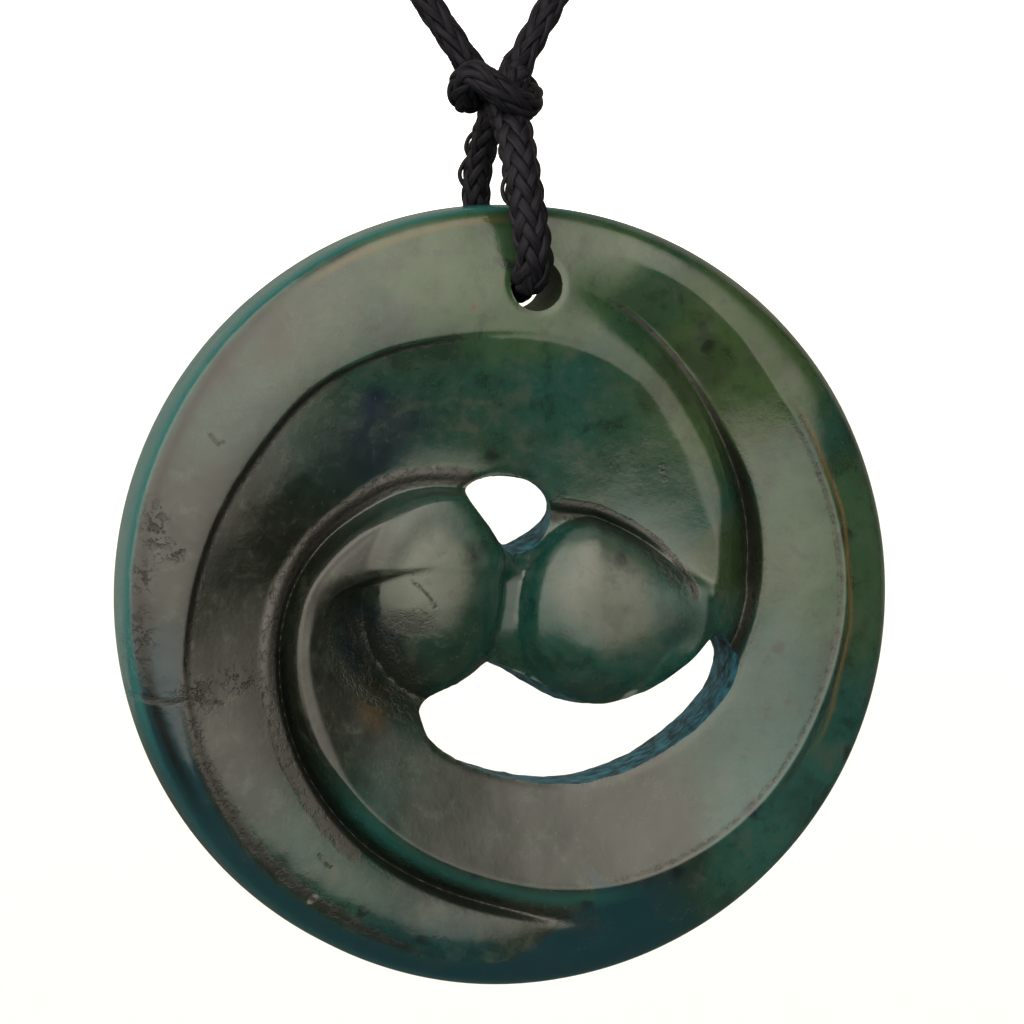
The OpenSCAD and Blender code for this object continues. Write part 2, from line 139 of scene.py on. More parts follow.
def curve_between(p, q, leaving, reaching, u):
    """The place a share u of the way along the cubic from p to q, with its slopes at both."""
    return ((2 * u ** 3 - 3 * u ** 2 + 1) * p + (u ** 3 - 2 * u ** 2 + u) * leaving
            + (3 * u ** 2 - 2 * u ** 3) * q + (u ** 3 - u ** 2) * reaching)


def smooth_line(points, steps):
    """A smooth line through points, as the part's own cord has it."""
    points = [np.array(p, float) for p in points]
    last, line = len(points) - 1, []
    for i in range(last):
        before, p, q = points[max(0, i - 1)], points[i], points[i + 1]
        after = points[min(last, i + 2)]
        leaving = (q - before) / (1 if i == 0 else 2)
        reaching = (after - p) / (1 if i == last - 1 else 2)
        line.extend(curve_between(p, q, leaving, reaching, s / steps) for s in range(steps))
    return np.array(line + [points[-1]])


def evenly(line, step):
    """The same line with points about `step` apart, and how far along it each one is."""
    gone = np.concatenate([[0], np.cumsum(np.linalg.norm(np.diff(line, axis=0), axis=1))])
    along = np.linspace(0, gone[-1], max(2, int(round(gone[-1] / step)) + 1))
    return np.stack([np.interp(along, gone, line[:, i]) for i in range(3)], axis=1), along


neck_left = on_loop_plane([LEFT_START] + NECK_ROUTE)
neck_right = on_loop_plane([RIGHT_START] + NECK_ROUTE, mirror=-1)
whole_line, whole_along = evenly(smooth_line(
    neck_right[::-1] + in_disc(KNOT_CORE + LOOP_ROUTE + KNOT_TURN) + neck_left, 12), 0.1)


def cut_at(point):
    """How far along the cord the nearest place to a point is."""
    return whole_along[np.argmin(np.linalg.norm(whole_line - point, axis=1))]


RIGHT_KNOT, LOOP_TOP = cut_at(neck_right[0]), cut_at(DISC + np.array(LOOP_ROUTE[0]))
LOOP_BACK, LEFT_KNOT = cut_at(DISC + np.array(LOOP_ROUTE[-1])), cut_at(neck_left[0])
CORD_END = whole_along[-1]
# The loop's two ends reach this far into the front knot
LOOP_TUCKED = 1.2


def headings(line):
    """The direction of a line at each of its points."""
    ahead = np.gradient(line, axis=0)
    return ahead / np.linalg.norm(ahead, axis=1)[:, None]


def sideways_along(ahead, first):
    """Sideways directions along a line, turned as little as possible from point to point."""
    out, last = [], first
    for way in ahead:
        last = last - np.dot(last, way) * way
        last = last / np.linalg.norm(last)
        out.append(last)
    return np.array(out)


whole_ahead = headings(whole_line)
whole_side = sideways_along(whole_ahead, np.cross(whole_ahead[0], [0, 0, 1.0]))


def mesh_from(name, points, faces, materials):
    """An object with a smooth mesh, from points in millimetres."""
    mesh = bpy.data.meshes.new(name)
    mesh.from_pydata([tuple(p * MM) for p in points], [], faces)
    for material in materials:
        mesh.materials.append(material)
    mesh.polygons.foreach_set("use_smooth", [True] * len(mesh.polygons))
    mesh.update()
    made = bpy.data.objects.new(name, mesh)
    bpy.context.collection.objects.link(made)
    return made


# The stone: its carved face is worked out as a height over a round sheet of facets

# Each arm's row: angle; crest radius and height; radius and height of the lip at the inner
# edge of its face; swell of the face; height of the groove's floor; drop inside and outside
# the crest; bead along the lip
ARM_RIGHT = [
    (-75, 11.0, 4.9, 10.0, 4.9, 0.0, 4.8, 0.0, 0.0, 0.0),
    (-45, 11.2, 5.4, 10.2, 5.4, 0.0, 5.2, 0.0, 0.0, 0.0),
    (-20, 11.9, 5.9, 10.8, 5.8, 0.0, 5.5, 0.0, 0.0, 0.0),
    (0, 12.9, 6.3, 11.6, 6.0, 0.0, 5.6, 0.0, 0.0, 0.1),
    (15, 13.6, 6.5, 10.4, 5.6, -0.2, 4.4, 0.0, 0.0, 0.0),
    (30, 14.4, 6.6, 9.0, 5.1, -0.2, 3.9, 0.0, 0.0, 0.0),
    (45, 15.3, 6.7, 7.8, 4.7, -0.2, 3.7, 0.0, 0.0, 0.0),
    (60, 16.4, 6.8, 6.8, 4.4, -0.2, 3.8, 0.0, 0.0, 0.0),
    (75, 16.9, 6.8, 6.7, 4.3, -0.2, 4.0, 0.0, 0.0, 0.0),
    (105, 17.4, 6.8, 7.6, 4.3, -0.2, 4.1, 0.1, 0.0, 0.1),
    (120, 18.2, 6.8, 8.7, 4.3, -0.2, 4.1, 0.3, 0.0, 0.2),
    (135, 19.0, 6.8, 10.2, 4.3, 0.2, 4.1, 0.5, 0.0, 0.2),
    (150, 19.4, 6.7, 11.6, 4.4, 0.4, 4.1, 0.4, 0.0, 0.2),
    (165, 20.2, 6.5, 13.3, 4.5, 0.3, 4.0, 0.3, 0.0, 0.2),
    (180, 21.1, 6.3, 14.8, 4.8, 0.0, 3.9, 0.2, 0.0, 0.2),
    (195, 22.2, 6.1, 16.0, 5.3, 0.1, 3.9, 0.0, 0.1, 0.1),
    (210, 23.0, 6.1, 17.1, 5.8, 0.3, 3.9, 0.0, 0.4, 0.0),
    (225, 23.4, 6.0, 18.1, 6.1, 0.4, 4.0, 0.0, 0.5, 0.0),
    (240, 23.4, 6.0, 19.0, 6.1, 0.4, 4.1, 0.0, 0.4, 0.0),
    (255, 23.6, 5.8, 19.7, 6.0, 0.3, 4.3, 0.0, 0.3, 0.0),
    (270, 23.1, 5.7, 20.6, 5.9, 0.2, 4.6, 0.0, 0.2, 0.0),
    (285, 22.5, 5.6, 22.2, 5.6, 0.0, 5.2, 0.0, 0.0, 0.0)]
ARM_LEFT = [
    (-276, 6.0, 5.4, 5.0, 4.8, 0.0, 4.8, 0.0, 0.0, 0.0),
    (-246, 7.0, 6.0, 5.4, 5.8, 0.0, 5.8, 0.0, 0.0, 0.0),
    (-216, 9.1, 6.4, 5.6, 6.2, 0.1, 6.2, 0.0, 0.0, 0.0),
    (-200, 10.8, 6.5, 6.4, 6.2, 0.1, 6.0, 0.0, 0.0, 0.0),
    (-190, 12.1, 6.5, 8.8, 6.3, 0.1, 4.0, 0.0, 0.0, 0.0),
    (-182, 13.1, 6.5, 11.6, 6.4, 0.0, 3.8, 0.0, 0.0, 0.0),
    (-174, 13.7, 6.5, 12.5, 6.3, 0.0, 3.8, 0.0, 0.0, 0.0),
    (-165, 14.3, 6.6, 12.7, 6.1, 0.0, 3.9, 0.0, 0.0, 0.0),
    (-150, 15.1, 6.7, 12.0, 5.9, 0.0, 4.0, 0.0, 0.0, 0.0),
    (-135, 15.9, 6.8, 10.6, 5.5, -0.1, 4.2, 0.0, 0.0, 0.0),
    (-115, 16.9, 6.8, 9.9, 5.2, -0.1, 4.4, 0.0, 0.0, 0.0),
    (-96, 17.8, 6.8, 10.7, 5.0, -0.1, 4.4, 0.0, 0.0, 0.0),
    (-66, 19.8, 6.8, 12.3, 5.1, -0.1, 4.4, 0.1, 0.0, 0.0),
    (-40, 20.9, 6.7, 13.8, 5.4, 0.0, 4.2, 0.1, 0.0, 0.0),
    (-20, 21.3, 6.6, 15.2, 5.8, 0.1, 4.0, 0.1, 0.0, 0.0),
    (0, 21.7, 6.5, 16.2, 5.9, 0.1, 3.9, 0.2, 0.0, 0.0),
    (22, 21.7, 6.4, 17.2, 5.5, 0.1, 3.9, 0.0, 0.0, 0.0),
    (37, 21.6, 6.4, 17.8, 4.9, 0.0, 4.3, 0.0, 0.0, 0.0),
    (50, 22.2, 6.5, 18.6, 4.9, 0.0, 4.8, 0.0, 0.0, 0.0),
    (65, 22.8, 6.5, 19.8, 5.2, 0.0, 5.2, 0.0, 0.0, 0.0),
    (84, 22.9, 6.3, 21.2, 5.6, 0.0, 5.5, 0.0, 0.0, 0.0)]
# Widths of the wall up to a lip, of the drop beside a crest and of the bead along a lip, and
# the degrees in which the tail of an arm dies out
WALL_W, DROP_W, BEAD_W, TAIL_SPAN = 0.6, 0.4, 1.0, 24
# The directions in which the tail of the right arm and of the left arm end
RIGHT_TAIL, LEFT_TAIL = 285, 84
# The ball ends: middle across and up; reach to the left, right, down and up; height of the top;
# how much narrower they get with each millimetre to the right
BALLS = [(-4.7, 1.0, 5.0, 4.3, 7.4, 6.0, 7.2, 0.0), (5.6, -1.0, 5.0, 11.0, 6.2, 6.0, 7.2, 0.06)]
# The height of a ball's foot, how softly it meets the floor, and how softly the top of each
# ball flows into its arm
BALL_FOOT, BALL_BLEND, BALL_CORES = 3.6, 0.6, (1.4, 0.0)
# The openings: across, up, and 0 at a sharp corner or 1 where the line runs on smoothly
TOP_OPENING = [(-1.7, 4.6, 1), (-0.7, 3.1, 0.5), (0.3, 2.4, 0.8), (1.7, 2.8, 1), (2.35, 4.2, 1),
               (2.5, 5.8, 1), (1.6, 7.3, 1), (-0.5, 7.9, 1), (-2.4, 7.5, 1), (-3.1, 6.6, 1)]
TOP_OPENING_BACK = [(-1.2, 4.7, 1), (0.5, 3.2, 0.5), (1.5, 3.6, 0.8), (2.6, 4.3, 1), (3.4, 5.2, 1),
                    (3.3, 6.3, 1), (2.2, 7.3, 1), (0.0, 7.6, 1), (-1.8, 7.3, 1), (-2.4, 6.4, 1)]
CRESCENT = [(-1.1, -4.0, 0), (-3.4, -5.3, 1), (-5.3, -6.4, 1), (-5.9, -7.6, 1), (-5.1, -9.3, 1),
            (-3.1, -10.6, 1), (-0.4, -11.5, 1), (2.3, -12.0, 1), (5.1, -11.9, 1),
            (8.6, -10.8, 1), (12.0, -8.6, 1), (14.2, -6.1, 1), (14.8, -3.9, 1), (14.1, -2.7, 1),
            (12.9, -2.8, 1), (11.4, -4.4, 1), (9.0, -6.0, 1), (6.0, -6.9, 1), (3.5, -6.3, 1),
            (1.2, -5.0, 1)]
HOLE_AT, HOLE_R = (1.3, 20.0), 1.7
# How far the sawn walls lean in and sink towards the back
SAW_LEAN, SAW_SINK = 0.22, 0.1


def ease(t):
    """From 0 to 1, starting and ending gently."""
    t = np.clip(t, 0, 1)
    return t * t * (3 - 2 * t)


def mix(a, b, t):
    return a + (b - a) * t


def smooth_rows(table, step=0.25):
    """The rows of a table at every quarter degree, joined as smoothly as in the part's source."""
    t = np.array(table, float)
    low, high = np.maximum(np.arange(len(t)) - 1, 0), np.minimum(np.arange(len(t)) + 1, len(t) - 1)
    slope = (t[high] - t[low]) / (t[high] - t[low])[:, :1]
    out = []
    for angle in np.arange(t[0][0], t[-1][0] + 1e-6, step):
        i = int(np.clip(np.searchsorted(t[:, 0], angle, "right") - 1, 0, len(t) - 2))
        w = t[i + 1][0] - t[i][0]
        out.append(curve_between(t[i], t[i + 1], w * slope[i], w * slope[i + 1],
                                 (angle - t[i][0]) / w))
    return np.array(out)


RIGHT_ROWS, LEFT_ROWS = smooth_rows(ARM_RIGHT), smooth_rows(ARM_LEFT)


def turn(angle, start):
    """The degrees from a starting direction round to an angle."""
    return np.mod(angle - start, 360)


def window(angle, start, end, soft):
    """1 between two directions, fading out over `soft` degrees at both ends."""
    gone = turn(angle, start - soft)
    return ease(gone / soft) * ease((end - start + 2 * soft - gone) / soft)


def arm(rows, angle):
    """The columns of an arm's table in each direction."""
    along = turn(angle, rows[0, 0]) + rows[0, 0]
    return [np.interp(along, rows[:, 0], rows[:, i]) for i in range(rows.shape[1])]


def arm_height(a, r, foot_r, foot_h, wall=WALL_W, straight=0.0):
    """An arm's height at radius r: outside its crest, on its face and on its groove's floor."""
    _, crest_r, crest_h, lip_r, lip_h, swell, floor_h, in_drop, out_drop, bead, flat, full = a
    out = np.clip((r - crest_r - flat) / (foot_r - crest_r - flat), 0, 1) ** full
    outside = foot_h + (crest_h - foot_h - out_drop * ease((r - crest_r) / DROP_W)) * mix(
        np.cos(np.pi / 2 * out), 1 - out, straight)
    u = (r - lip_r) / (crest_r - lip_r)
    rise = np.minimum(1, (r - lip_r) / (crest_r - lip_r - flat))
    face = (mix(lip_h, crest_h - in_drop * ease((crest_r - r) / DROP_W), rise)
            + swell * 4 * u * (1 - u) + bead * np.sin(np.pi * np.clip((r - lip_r) / BEAD_W, 0, 1)))
    up = np.clip(1 - (lip_r - r) / wall, 0, 1)
    # A wide wall is a scoop, and a narrow one an eased step
    floor = mix(floor_h, lip_h, mix(ease(up), up ** 1.15, ease((wall - 0.8) / 1.5)))
    return np.where(r >= crest_r, outside, np.where(r >= lip_r, face, floor))


def relief(x, z):
    """The height of the carved arms."""
    r, angle = np.hypot(x, z), np.degrees(np.arctan2(z, x))
    # Up on the right, one crest is a flat band and the other a full, rounded shoulder
    right = arm(RIGHT_ROWS, angle) + [0.6 * window(angle, 28, 92, 16), 1.0]
    left = arm(LEFT_ROWS, angle) + [0.35 * window(angle, 160, 215, 15),
                                    1 + 1.5 * window(angle, 36, 84, 14)]
    right_outer = turn(angle, LEFT_TAIL) < RIGHT_TAIL - LEFT_TAIL
    outer = [np.where(right_outer, p, q) for p, q in zip(right, left)]
    inner = [np.where(right_outer, q, p) for p, q in zip(right, left)]
    tail = np.where(right_outer, turn(RIGHT_TAIL - angle, 0), turn(LEFT_TAIL - angle, 0))
    # Low on the left the inner arm has no lip: its face is scooped down to the hollow
    scoop = WALL_W + 4.8 * ease(1.3 - 1.3 * np.abs(turn(angle, 0) - 202) / 42)
    # Low on the right the rim falls away straight, and a little thinner
    straight = 0.85 * window(angle, -110, 12, 25)
    thinner = 0.4
    alone = arm_height(inner, r, DISC_R, RIM_T - thinner * straight * right_outer, scoop,
                       straight * right_outer)
    straight = straight * ~right_outer
    foot = outer[3] - WALL_W
    both = np.where(r >= foot,
                    arm_height(outer, r, DISC_R, RIM_T - thinner * straight, WALL_W, straight),
                    arm_height(inner, r, np.maximum(foot, inner[1] + inner[10] + 0.01),
                               outer[6], scoop))
    return mix(alone, both, ease(tail / TAIL_SPAN))


def flow(a, b, width):
    """The higher of two heights, which flow into each other where they are nearly equal."""
    t = np.maximum(0, width - np.abs(a - b)) / width
    return np.maximum(a, b) + t * t * width / 4


def ball_height(ball, x, z):
    """How far out on a ball each point lies, 1 at its foot, and the ball's height there."""
    bx, bz, left, right, down, up, top, taper = ball
    narrow = np.clip(1 - taper * (x - bx), 0.4, 1)
    d = np.hypot((x - bx) / np.where(x < bx, left, right),
                 (z - bz) / narrow / np.where(z < bz, down, up))
    top = top - 3 * ease((np.hypot(x, z) - 12.5) / 2.0)
    return d, np.where(d >= 1, BALL_FOOT - 3 * (d - 1),
                       BALL_FOOT + (top - BALL_FOOT) * np.sqrt(np.maximum(0, 1 - d ** 2.6)))


def in_hollow(x, z):
    """Places along and across the hollow between the first ball and the arm that curls round it."""
    return 0.64 * (x + 7.9) - 0.77 * (z + 4.2), 0.77 * (x + 7.9) + 0.64 * (z + 4.2)


def face_height(x, z):
    """The height of the carved face, with its arms, hollow and balls."""
    middle_h = 4.4
    h = mix(middle_h, relief(x, z), ease((np.hypot(x, z) - 1.0) / 2.0))
    along, across = in_hollow(x, z)
    h = h - 1.3 * np.exp(-((along / 4.2) ** 2 + (across / 1.5) ** 2))
    # The floor between the balls falls away towards the lower opening
    h = h - (0.13 * np.clip(-1.7 - z, 0, 3) ** 2 * ease((z + 9) / 2)
             * np.exp(-(((x - 0.3) / 2.2) ** 2)))
    # The first ball grows out of the arm above it, and the second out of the arm on its right
    grown = (ease((z - 0.7) / 1.3), ease((x - 7.4) / 2.0) * ease((1.5 - z) / 1.5))
    for ball, much, core in zip(BALLS, grown, BALL_CORES):
        d, dome = ball_height(ball, x, z)
        h = mix(flow(h, dome, BALL_BLEND + 2.2 * much),
                flow(h - 0.8 * (1 - much), dome, 0.02 + core * much), ease((0.92 - d) / 0.4))
    return h


def outline(table, steps):
    """A closed smooth line through an opening's points."""
    t, n = np.array(table, float), len(table)
    line = []
    for i in range(n):
        before, p, q, after = t[i - 1], t[i], t[(i + 1) % n], t[(i + 2) % n]
        leaving, reaching = p[2] * (q - before) / 2, q[2] * (after - p) / 2
        line.extend(curve_between(p, q, leaving, reaching, s / steps)[:2] for s in range(steps))
    return np.array(line)


def away_from(line, x, z):
    """How far each point lies from a closed line."""
    near = np.full(x.shape, 1e9)
    for (ax, az), (bx, bz) in zip(line, np.roll(line, -1, axis=0)):
        dx, dz = bx - ax, bz - az
        t = np.clip(((x - ax) * dx + (z - az) * dz) / (dx * dx + dz * dz), 0, 1)
        near = np.minimum(near, np.hypot(x - ax - t * dx, z - az - t * dz))
    return near


# Cracks and scratches: from and to, with half their width
CRACKS = [(-25.0, -5.9, -22.6, -6.3, 0.16), (-22.6, -6.3, -20.8, -6.1, 0.2),
          (-20.8, -6.1, -19.0, -6.4, 0.13), (-6.9, 1.2, -5.9, 0.3, 0.09),
          (-5.9, 0.3, -5.4, -0.4, 0.08), (-19.8, 10.6, -19.3, 10.0, 0.09),
          (-19.3, 10.0, -18.9, 10.2, 0.08), (9.6, 8.4, 9.9, 7.2, 0.07),
          (-12.9, -16.2, -12.1, -16.9, 0.1)]
# Pitted places: across, up, and their reach across and up
PITTED = [(-23.2, 4.6, 0.7, 1.6), (-24.0, 1.6, 0.5, 1.0), (-24.1, -2.6, 0.6, 1.8),
          (-22.0, 3.2, 0.6, 0.5), (-14.0, 2.4, 0.4, 1.0), (-20.6, -5.9, 1.4, 0.8),
          (-17.6, -4.9, 1.2, 0.7), (-10.3, -2.4, 0.6, 1.7), (-9.3, -4.4, 0.9, 1.2),
          (-7.8, -5.9, 1.0, 0.7)]
OPENINGS = [outline(TOP_OPENING, 8), outline(CRESCENT, 8)]
# Width and depth of the softened edge round the openings and the drilled hole
WORN_W, WORN_D = 0.5, 0.12
# How far the polishing rounds every crest
POLISH_R = 0.13


def polished_height(x, z):
    """The carved face after polishing: averaged over a small circle, with worn edges."""
    total, weight = face_height(x, z) * 2, 2
    for i in range(6):
        for share in (1.0, 0.5):
            a = math.pi * (i + share) / 3
            total = total + face_height(x + share * POLISH_R * math.cos(a),
                                        z + share * POLISH_R * math.sin(a))
            weight += 1
    edge = np.abs(np.hypot(x - HOLE_AT[0], z - HOLE_AT[1]) - HOLE_R)
    for line in OPENINGS:
        edge = np.minimum(edge, away_from(line, x, z))
    return total / weight - WORN_D * np.clip(1 - edge / WORN_W, 0, 1) ** 2


def wobble(x, z, size, seed):
    """Soft unevenness, between about -1 and 1, with bumps of about that size."""
    return np.array([noise.noise(Vector((a / size, b / size, seed))) for a, b in zip(x, z)])


FACE_RINGS = 172


def ring_radii():
    """The radius of each ring in each direction: the rings crowd together near the lips."""
    angles = np.arange(0, 360.5, 0.5)
    r = np.arange(0, DISC_R + 0.001, 0.02)
    crowd = np.ones((len(angles), len(r)))
    for rows in (RIGHT_ROWS, LEFT_ROWS):
        a = arm(rows, angles)
        gone = turn(angles, rows[0, 0])
        there = ease(np.minimum(gone, 360 - gone) / 30)[:, None]
        for place, reach, extra in ((a[3] - 0.3, 0.6, 3.2), (a[1], 0.5, 1.0)):
            crowd += there * extra * np.exp(-((r[None, :] - place[:, None]) / reach) ** 2)
    crowd[:, r > 24.2] += 1.5
    share = np.cumsum(crowd, axis=1)
    share = (share - share[:, :1]) / (share[:, -1:] - share[:, :1])
    radii = np.array([np.interp(np.arange(FACE_RINGS + 1) / FACE_RINGS, one, r) for one in share])
    return angles, radii


def stone_blank(materials):
    """The stone before its openings are cut: carved face, rounded rim and flat back."""
    angles, radii = ring_radii()
    xs, zs, rows = [0.0], [0.0], [0]
    for k in range(1, FACE_RINGS + 1):
        a = 2 * np.pi * np.arange(6 * k) / (6 * k)
        radius = np.interp(np.degrees(a), angles, radii[:, k])
        rows.append(len(xs))
        xs.extend(radius * np.cos(a))
        zs.extend(radius * np.sin(a))
    x, z = np.array(xs), np.array(zs)
    r = np.hypot(x, z)
    h = polished_height(x, z)
    h += 0.045 * wobble(x, z, 5.5, 3.1) + 0.018 * wobble(x, z, 2.2, 8.4)
    # The front edge is rounded, most at the bottom and the lower left
    low = ease(1 - np.abs(turn(np.degrees(np.arctan2(z, x)), 75) - 175) / 95)
    worn_r = mix(0.9, 2.3, low)
    over = np.clip(r - DISC_R + worn_r, 0, worn_r) / worn_r
    h += -worn_r * (1 - np.sqrt(1 - over ** 2)) * mix(1, 0.85, low)
    points = [np.array(p) for p in zip(x, -h, z)]
    faces = []
    for k in range(1, FACE_RINGS + 1):
        n, m = 6 * k, 6 * (k - 1)
        start, inside = rows[k], rows[k - 1]
        for s in range(6):
            for i in range(k):
                near = inside + (s * (k - 1) + i) % max(1, m)
                faces.append((near, start + s * k + i, start + (s * k + i + 1) % n))
                if i < k - 1:
                    faces.append((near, start + s * k + i + 1, inside + (s * (k - 1) + i + 1) % m))
    n = 6 * FACE_RINGS
    ring = rows[-1]
    a = 2 * np.pi * np.arange(n) / n
    # Down the side wall, round the back edge, and in to the flat back: radius and depth
    back = [(DISC_R, -2.2 * f - EDGE_R) for f in (1.0, 0.5)]
    back += [(DISC_R - EDGE_R * (1 - math.cos(t)), -EDGE_R * (1 - math.sin(t)))
             for t in (0, 0.3, 0.6, 0.9, 1.2, math.pi / 2)] + [(23.9, 0.0), (23.0, 0.0)]
    for radius, y in back:
        new = len(points)
        points.extend(np.array([radius * math.cos(t), y, radius * math.sin(t)]) for t in a)
        faces.extend((new + i, new + (i + 1) % n, ring + (i + 1) % n, ring + i) for i in range(n))
        ring = new
    faces.append(tuple(reversed(range(ring, ring + n))))
    return mesh_from("stone_blank", [p + DISC for p in points], faces, materials)


def cutter(name, rings, materials, wall):
    """A closed form through rings of points, from behind to the front, whose cut is left in one
    of the stone's materials."""
    n, last = len(rings[0]), len(rings) - 1
    faces = [(j * n + i, j * n + (i + 1) % n, (j + 1) * n + (i + 1) % n, (j + 1) * n + i)
             for j in range(last) for i in range(n)]
    faces.append(tuple(reversed(range(n))))
    faces.append(tuple(last * n + i for i in range(n)))
    made = mesh_from(name, [p for ring in rings for p in ring], faces, materials)
    made.data.polygons.foreach_set("material_index", [wall] * len(faces))
    return made


def saw_form(line, materials, back=None):
    """What the saw takes out: a form with rough walls that lean in towards the back, or whose
    outline changes to the one at the back."""
    steps, from_depth, to_depth = 30, -1.2, 8.2
    along = np.roll(line, -1, axis=0) - np.roll(line, 1, axis=0)
    inward = np.stack([-along[:, 1], along[:, 0]], axis=1) / np.linalg.norm(along, axis=1)[:, None]
    # In a tight corner the wall stays upright, or its two sides would cross
    heading = np.arctan2(along[:, 1], along[:, 0])
    bend = np.abs(np.angle(np.exp(1j * (np.roll(heading, -1) - np.roll(heading, 1)))))
    bend_r = np.linalg.norm(along, axis=1) / np.maximum(bend, 0.01)
    room = np.min([np.roll(bend_r, k) for k in range(-4, 5)], axis=0)
    room = np.mean([np.roll(np.clip(room * 0.8, 0, 1), k) for k in range(-4, 5)], axis=0)
    rings = []
    for j in range(steps + 1):
        depth = from_depth + (to_depth - from_depth) * j / steps
        lean = SAW_LEAN * (1 - depth / RIM_T)
        ring = []
        for i in range(len(line)):
            x, z = line[i]
            if back is not None:
                x, z = mix(back[i], line[i], min(1.3, max(-0.1, depth / 6)))
            rough = 0.07 * noise.noise(Vector((x * 0.9, depth * 0.5, z * 0.9)))
            rough += 0.05 * noise.noise(Vector((x * 3.1, depth * 1.1, z * 3.1)))
            rough *= 1 if depth < 5.6 else 0.3
            step = room[i] * (rough + (lean if back is None else 0))
            ring.append(DISC + np.array([x + step * inward[i][0], -depth,
                                         z + step * inward[i][1] - SAW_SINK * (1 - depth / RIM_T)]))
        rings.append(ring)
    return cutter("saw_form", rings, materials, 1)


def drill_form(materials):
    """What the drill takes out."""
    around = 2 * np.pi * np.arange(96) / 96
    return cutter("drill_form", [
        [DISC + np.array([HOLE_AT[0] + HOLE_R * math.cos(t), y, HOLE_AT[1] + HOLE_R * math.sin(t)])
         for t in around] for y in (1.5, -9.0)], materials, 2)


def plain_mesh(source, name):
    """A piece with its modifiers applied, as a plain mesh object of its own."""
    shape = source.evaluated_get(bpy.context.evaluated_depsgraph_get())
    mesh = bpy.data.meshes.new_from_object(shape)
    mesh.name = name
    made = bpy.data.objects.new(name, mesh)
    bpy.context.collection.objects.link(made)
    bpy.data.objects.remove(source)
    return made


def face_facts(mesh):
    """Stores on each point what the tools did there, and where shade and light are painted:
    grooves that the polishing didn't reach, with painted shade in them and in the hollow, pitted
    strips beside them, dark lines of painted shade under the crests, the painted shade of the lower
    rim, and the painted light of the side wall."""
    n = len(mesh.vertices)
    co = np.empty(n * 3)
    mesh.vertices.foreach_get("co", co)
    co = co.reshape(n, 3) / MM - DISC
    x, z = co[:, 0], co[:, 2]
    front = co[:, 1] < -2.0
    r, angle = np.hypot(x, z), np.degrees(np.arctan2(z, x))
    right, left = arm(RIGHT_ROWS, angle), arm(LEFT_ROWS, angle)

    def band(middle, half, sharp):
        """1 near a radius and 0 a little further than `half` from it."""
        return np.clip(sharp - np.abs(r - middle) / half, 0, 1)

    def beside(a, offset, half, start, end):
        """A strip beside the lip of an arm."""
        return window(angle, start, end, 12) * band(a[3] + offset, half, 1.4)

    def shade_line_under_crest(a, half, start, end, offset=-0.32):
        """A thin line of painted shade under the crest of an arm."""
        return window(angle, start, end, 14) * np.exp(-((r - a[1] - offset) / half) ** 2)

    along, across = in_hollow(x, z)
    # Grooves and the hollow: their colour gets painted shade, and the polish is missing there
    groove = np.maximum.reduce([
        np.clip((right[4] - right[6]) / 1.4, 0, 1) * band(right[3] - 0.5, 0.8, 1.15),
        np.clip((left[4] - left[6]) / 1.4, 0, 1) * band(left[3] - 0.5, 0.8, 1.15),
        window(angle, 8, 66, 8) * band(right[3] - 0.7, 0.6, 1.6),
        1.3 * np.exp(-(along / 4.6) ** 4 - ((across + 0.1) / 1.1) ** 2),
        0.9 * np.exp(-(((x + 7.0) / 1.5) ** 4) - ((z + 1.4) / 0.75) ** 4)])
    fretted = np.maximum.reduce([
        beside(right, 0.3, 0.8, 112, 232), beside(left, -0.35, 0.17, -34, 66),
        0.75 * beside(right, 0.15, 0.36, 4, 56)])
    # Thin lines of painted shade under the crests, then the real cracks
    line = np.maximum.reduce([
        shade_line_under_crest(right, 0.17, 112, 180), shade_line_under_crest(right, 0.34, 136, 152),
        shade_line_under_crest(right, 0.24, 184, 246), shade_line_under_crest(right, 0.4, 206, 240),
        shade_line_under_crest(left, 0.15, -62, 24) * 0.5, shade_line_under_crest(left, 0.16, -30, 24, 0.35) * 0.6])
    for ax, az, bx, bz, half in CRACKS:
        t = np.clip(((x - ax) * (bx - ax) + (z - az) * (bz - az))
                    / ((bx - ax) ** 2 + (bz - az) ** 2), 0, 1)
        away = np.hypot(x - mix(ax, bx, t), z - mix(az, bz, t))
        line = np.maximum(line, np.exp(-(away / half) ** 2))
    vein_r = 22.05 - 0.1 * np.sin(angle * 0.35)
    vein = np.maximum(window(angle, -20, 26, 10) * np.exp(-((r - vein_r) / 0.13) ** 2),
                      window(angle, 96, 118, 8) * np.exp(-((r - 24.1) / 0.16) ** 2))
    edge_line = window(angle, 140, 200, 20) * np.exp(-((r - 24.1) / 0.3) ** 2)
    inside = mix(right[1], left[1], ease((turn(angle, 0) - 266) / 26))
    pitted = np.maximum.reduce([np.exp(-((x - px) / across) ** 2 - ((z - pz) / up) ** 2)
                                for px, pz, across, up in PITTED])
    for name, values in (
            ("groove", np.minimum(groove, 1) * front), ("fretted", fretted * front),
            ("line", line * front), ("vein", vein * front),
            # The lower rim: the stone's teal, with painted shade where the rim faces down
            ("rim", window(angle, 192, 292, 14) * ease((r - inside) / 0.5)),
            ("edge_line", edge_line * front), ("pitted", pitted * front),
            ("seam", window(angle, 238, 282, 14) * band(left[1] + 0.7, 0.6, 1.2) * front),
            # Painted light on the thin side wall, strongest from the top round to the left, where
            # the light comes from
            ("side_wall", ease((r - 24.55) / 0.3) * (0.35 + 0.65 * window(angle, 95, 190, 20)))):
        layer = mesh.attributes.new(name, "FLOAT", "POINT")
        layer.data.foreach_set("value", values.astype(float))


# The braided cord

BRAID_STRANDS = 16
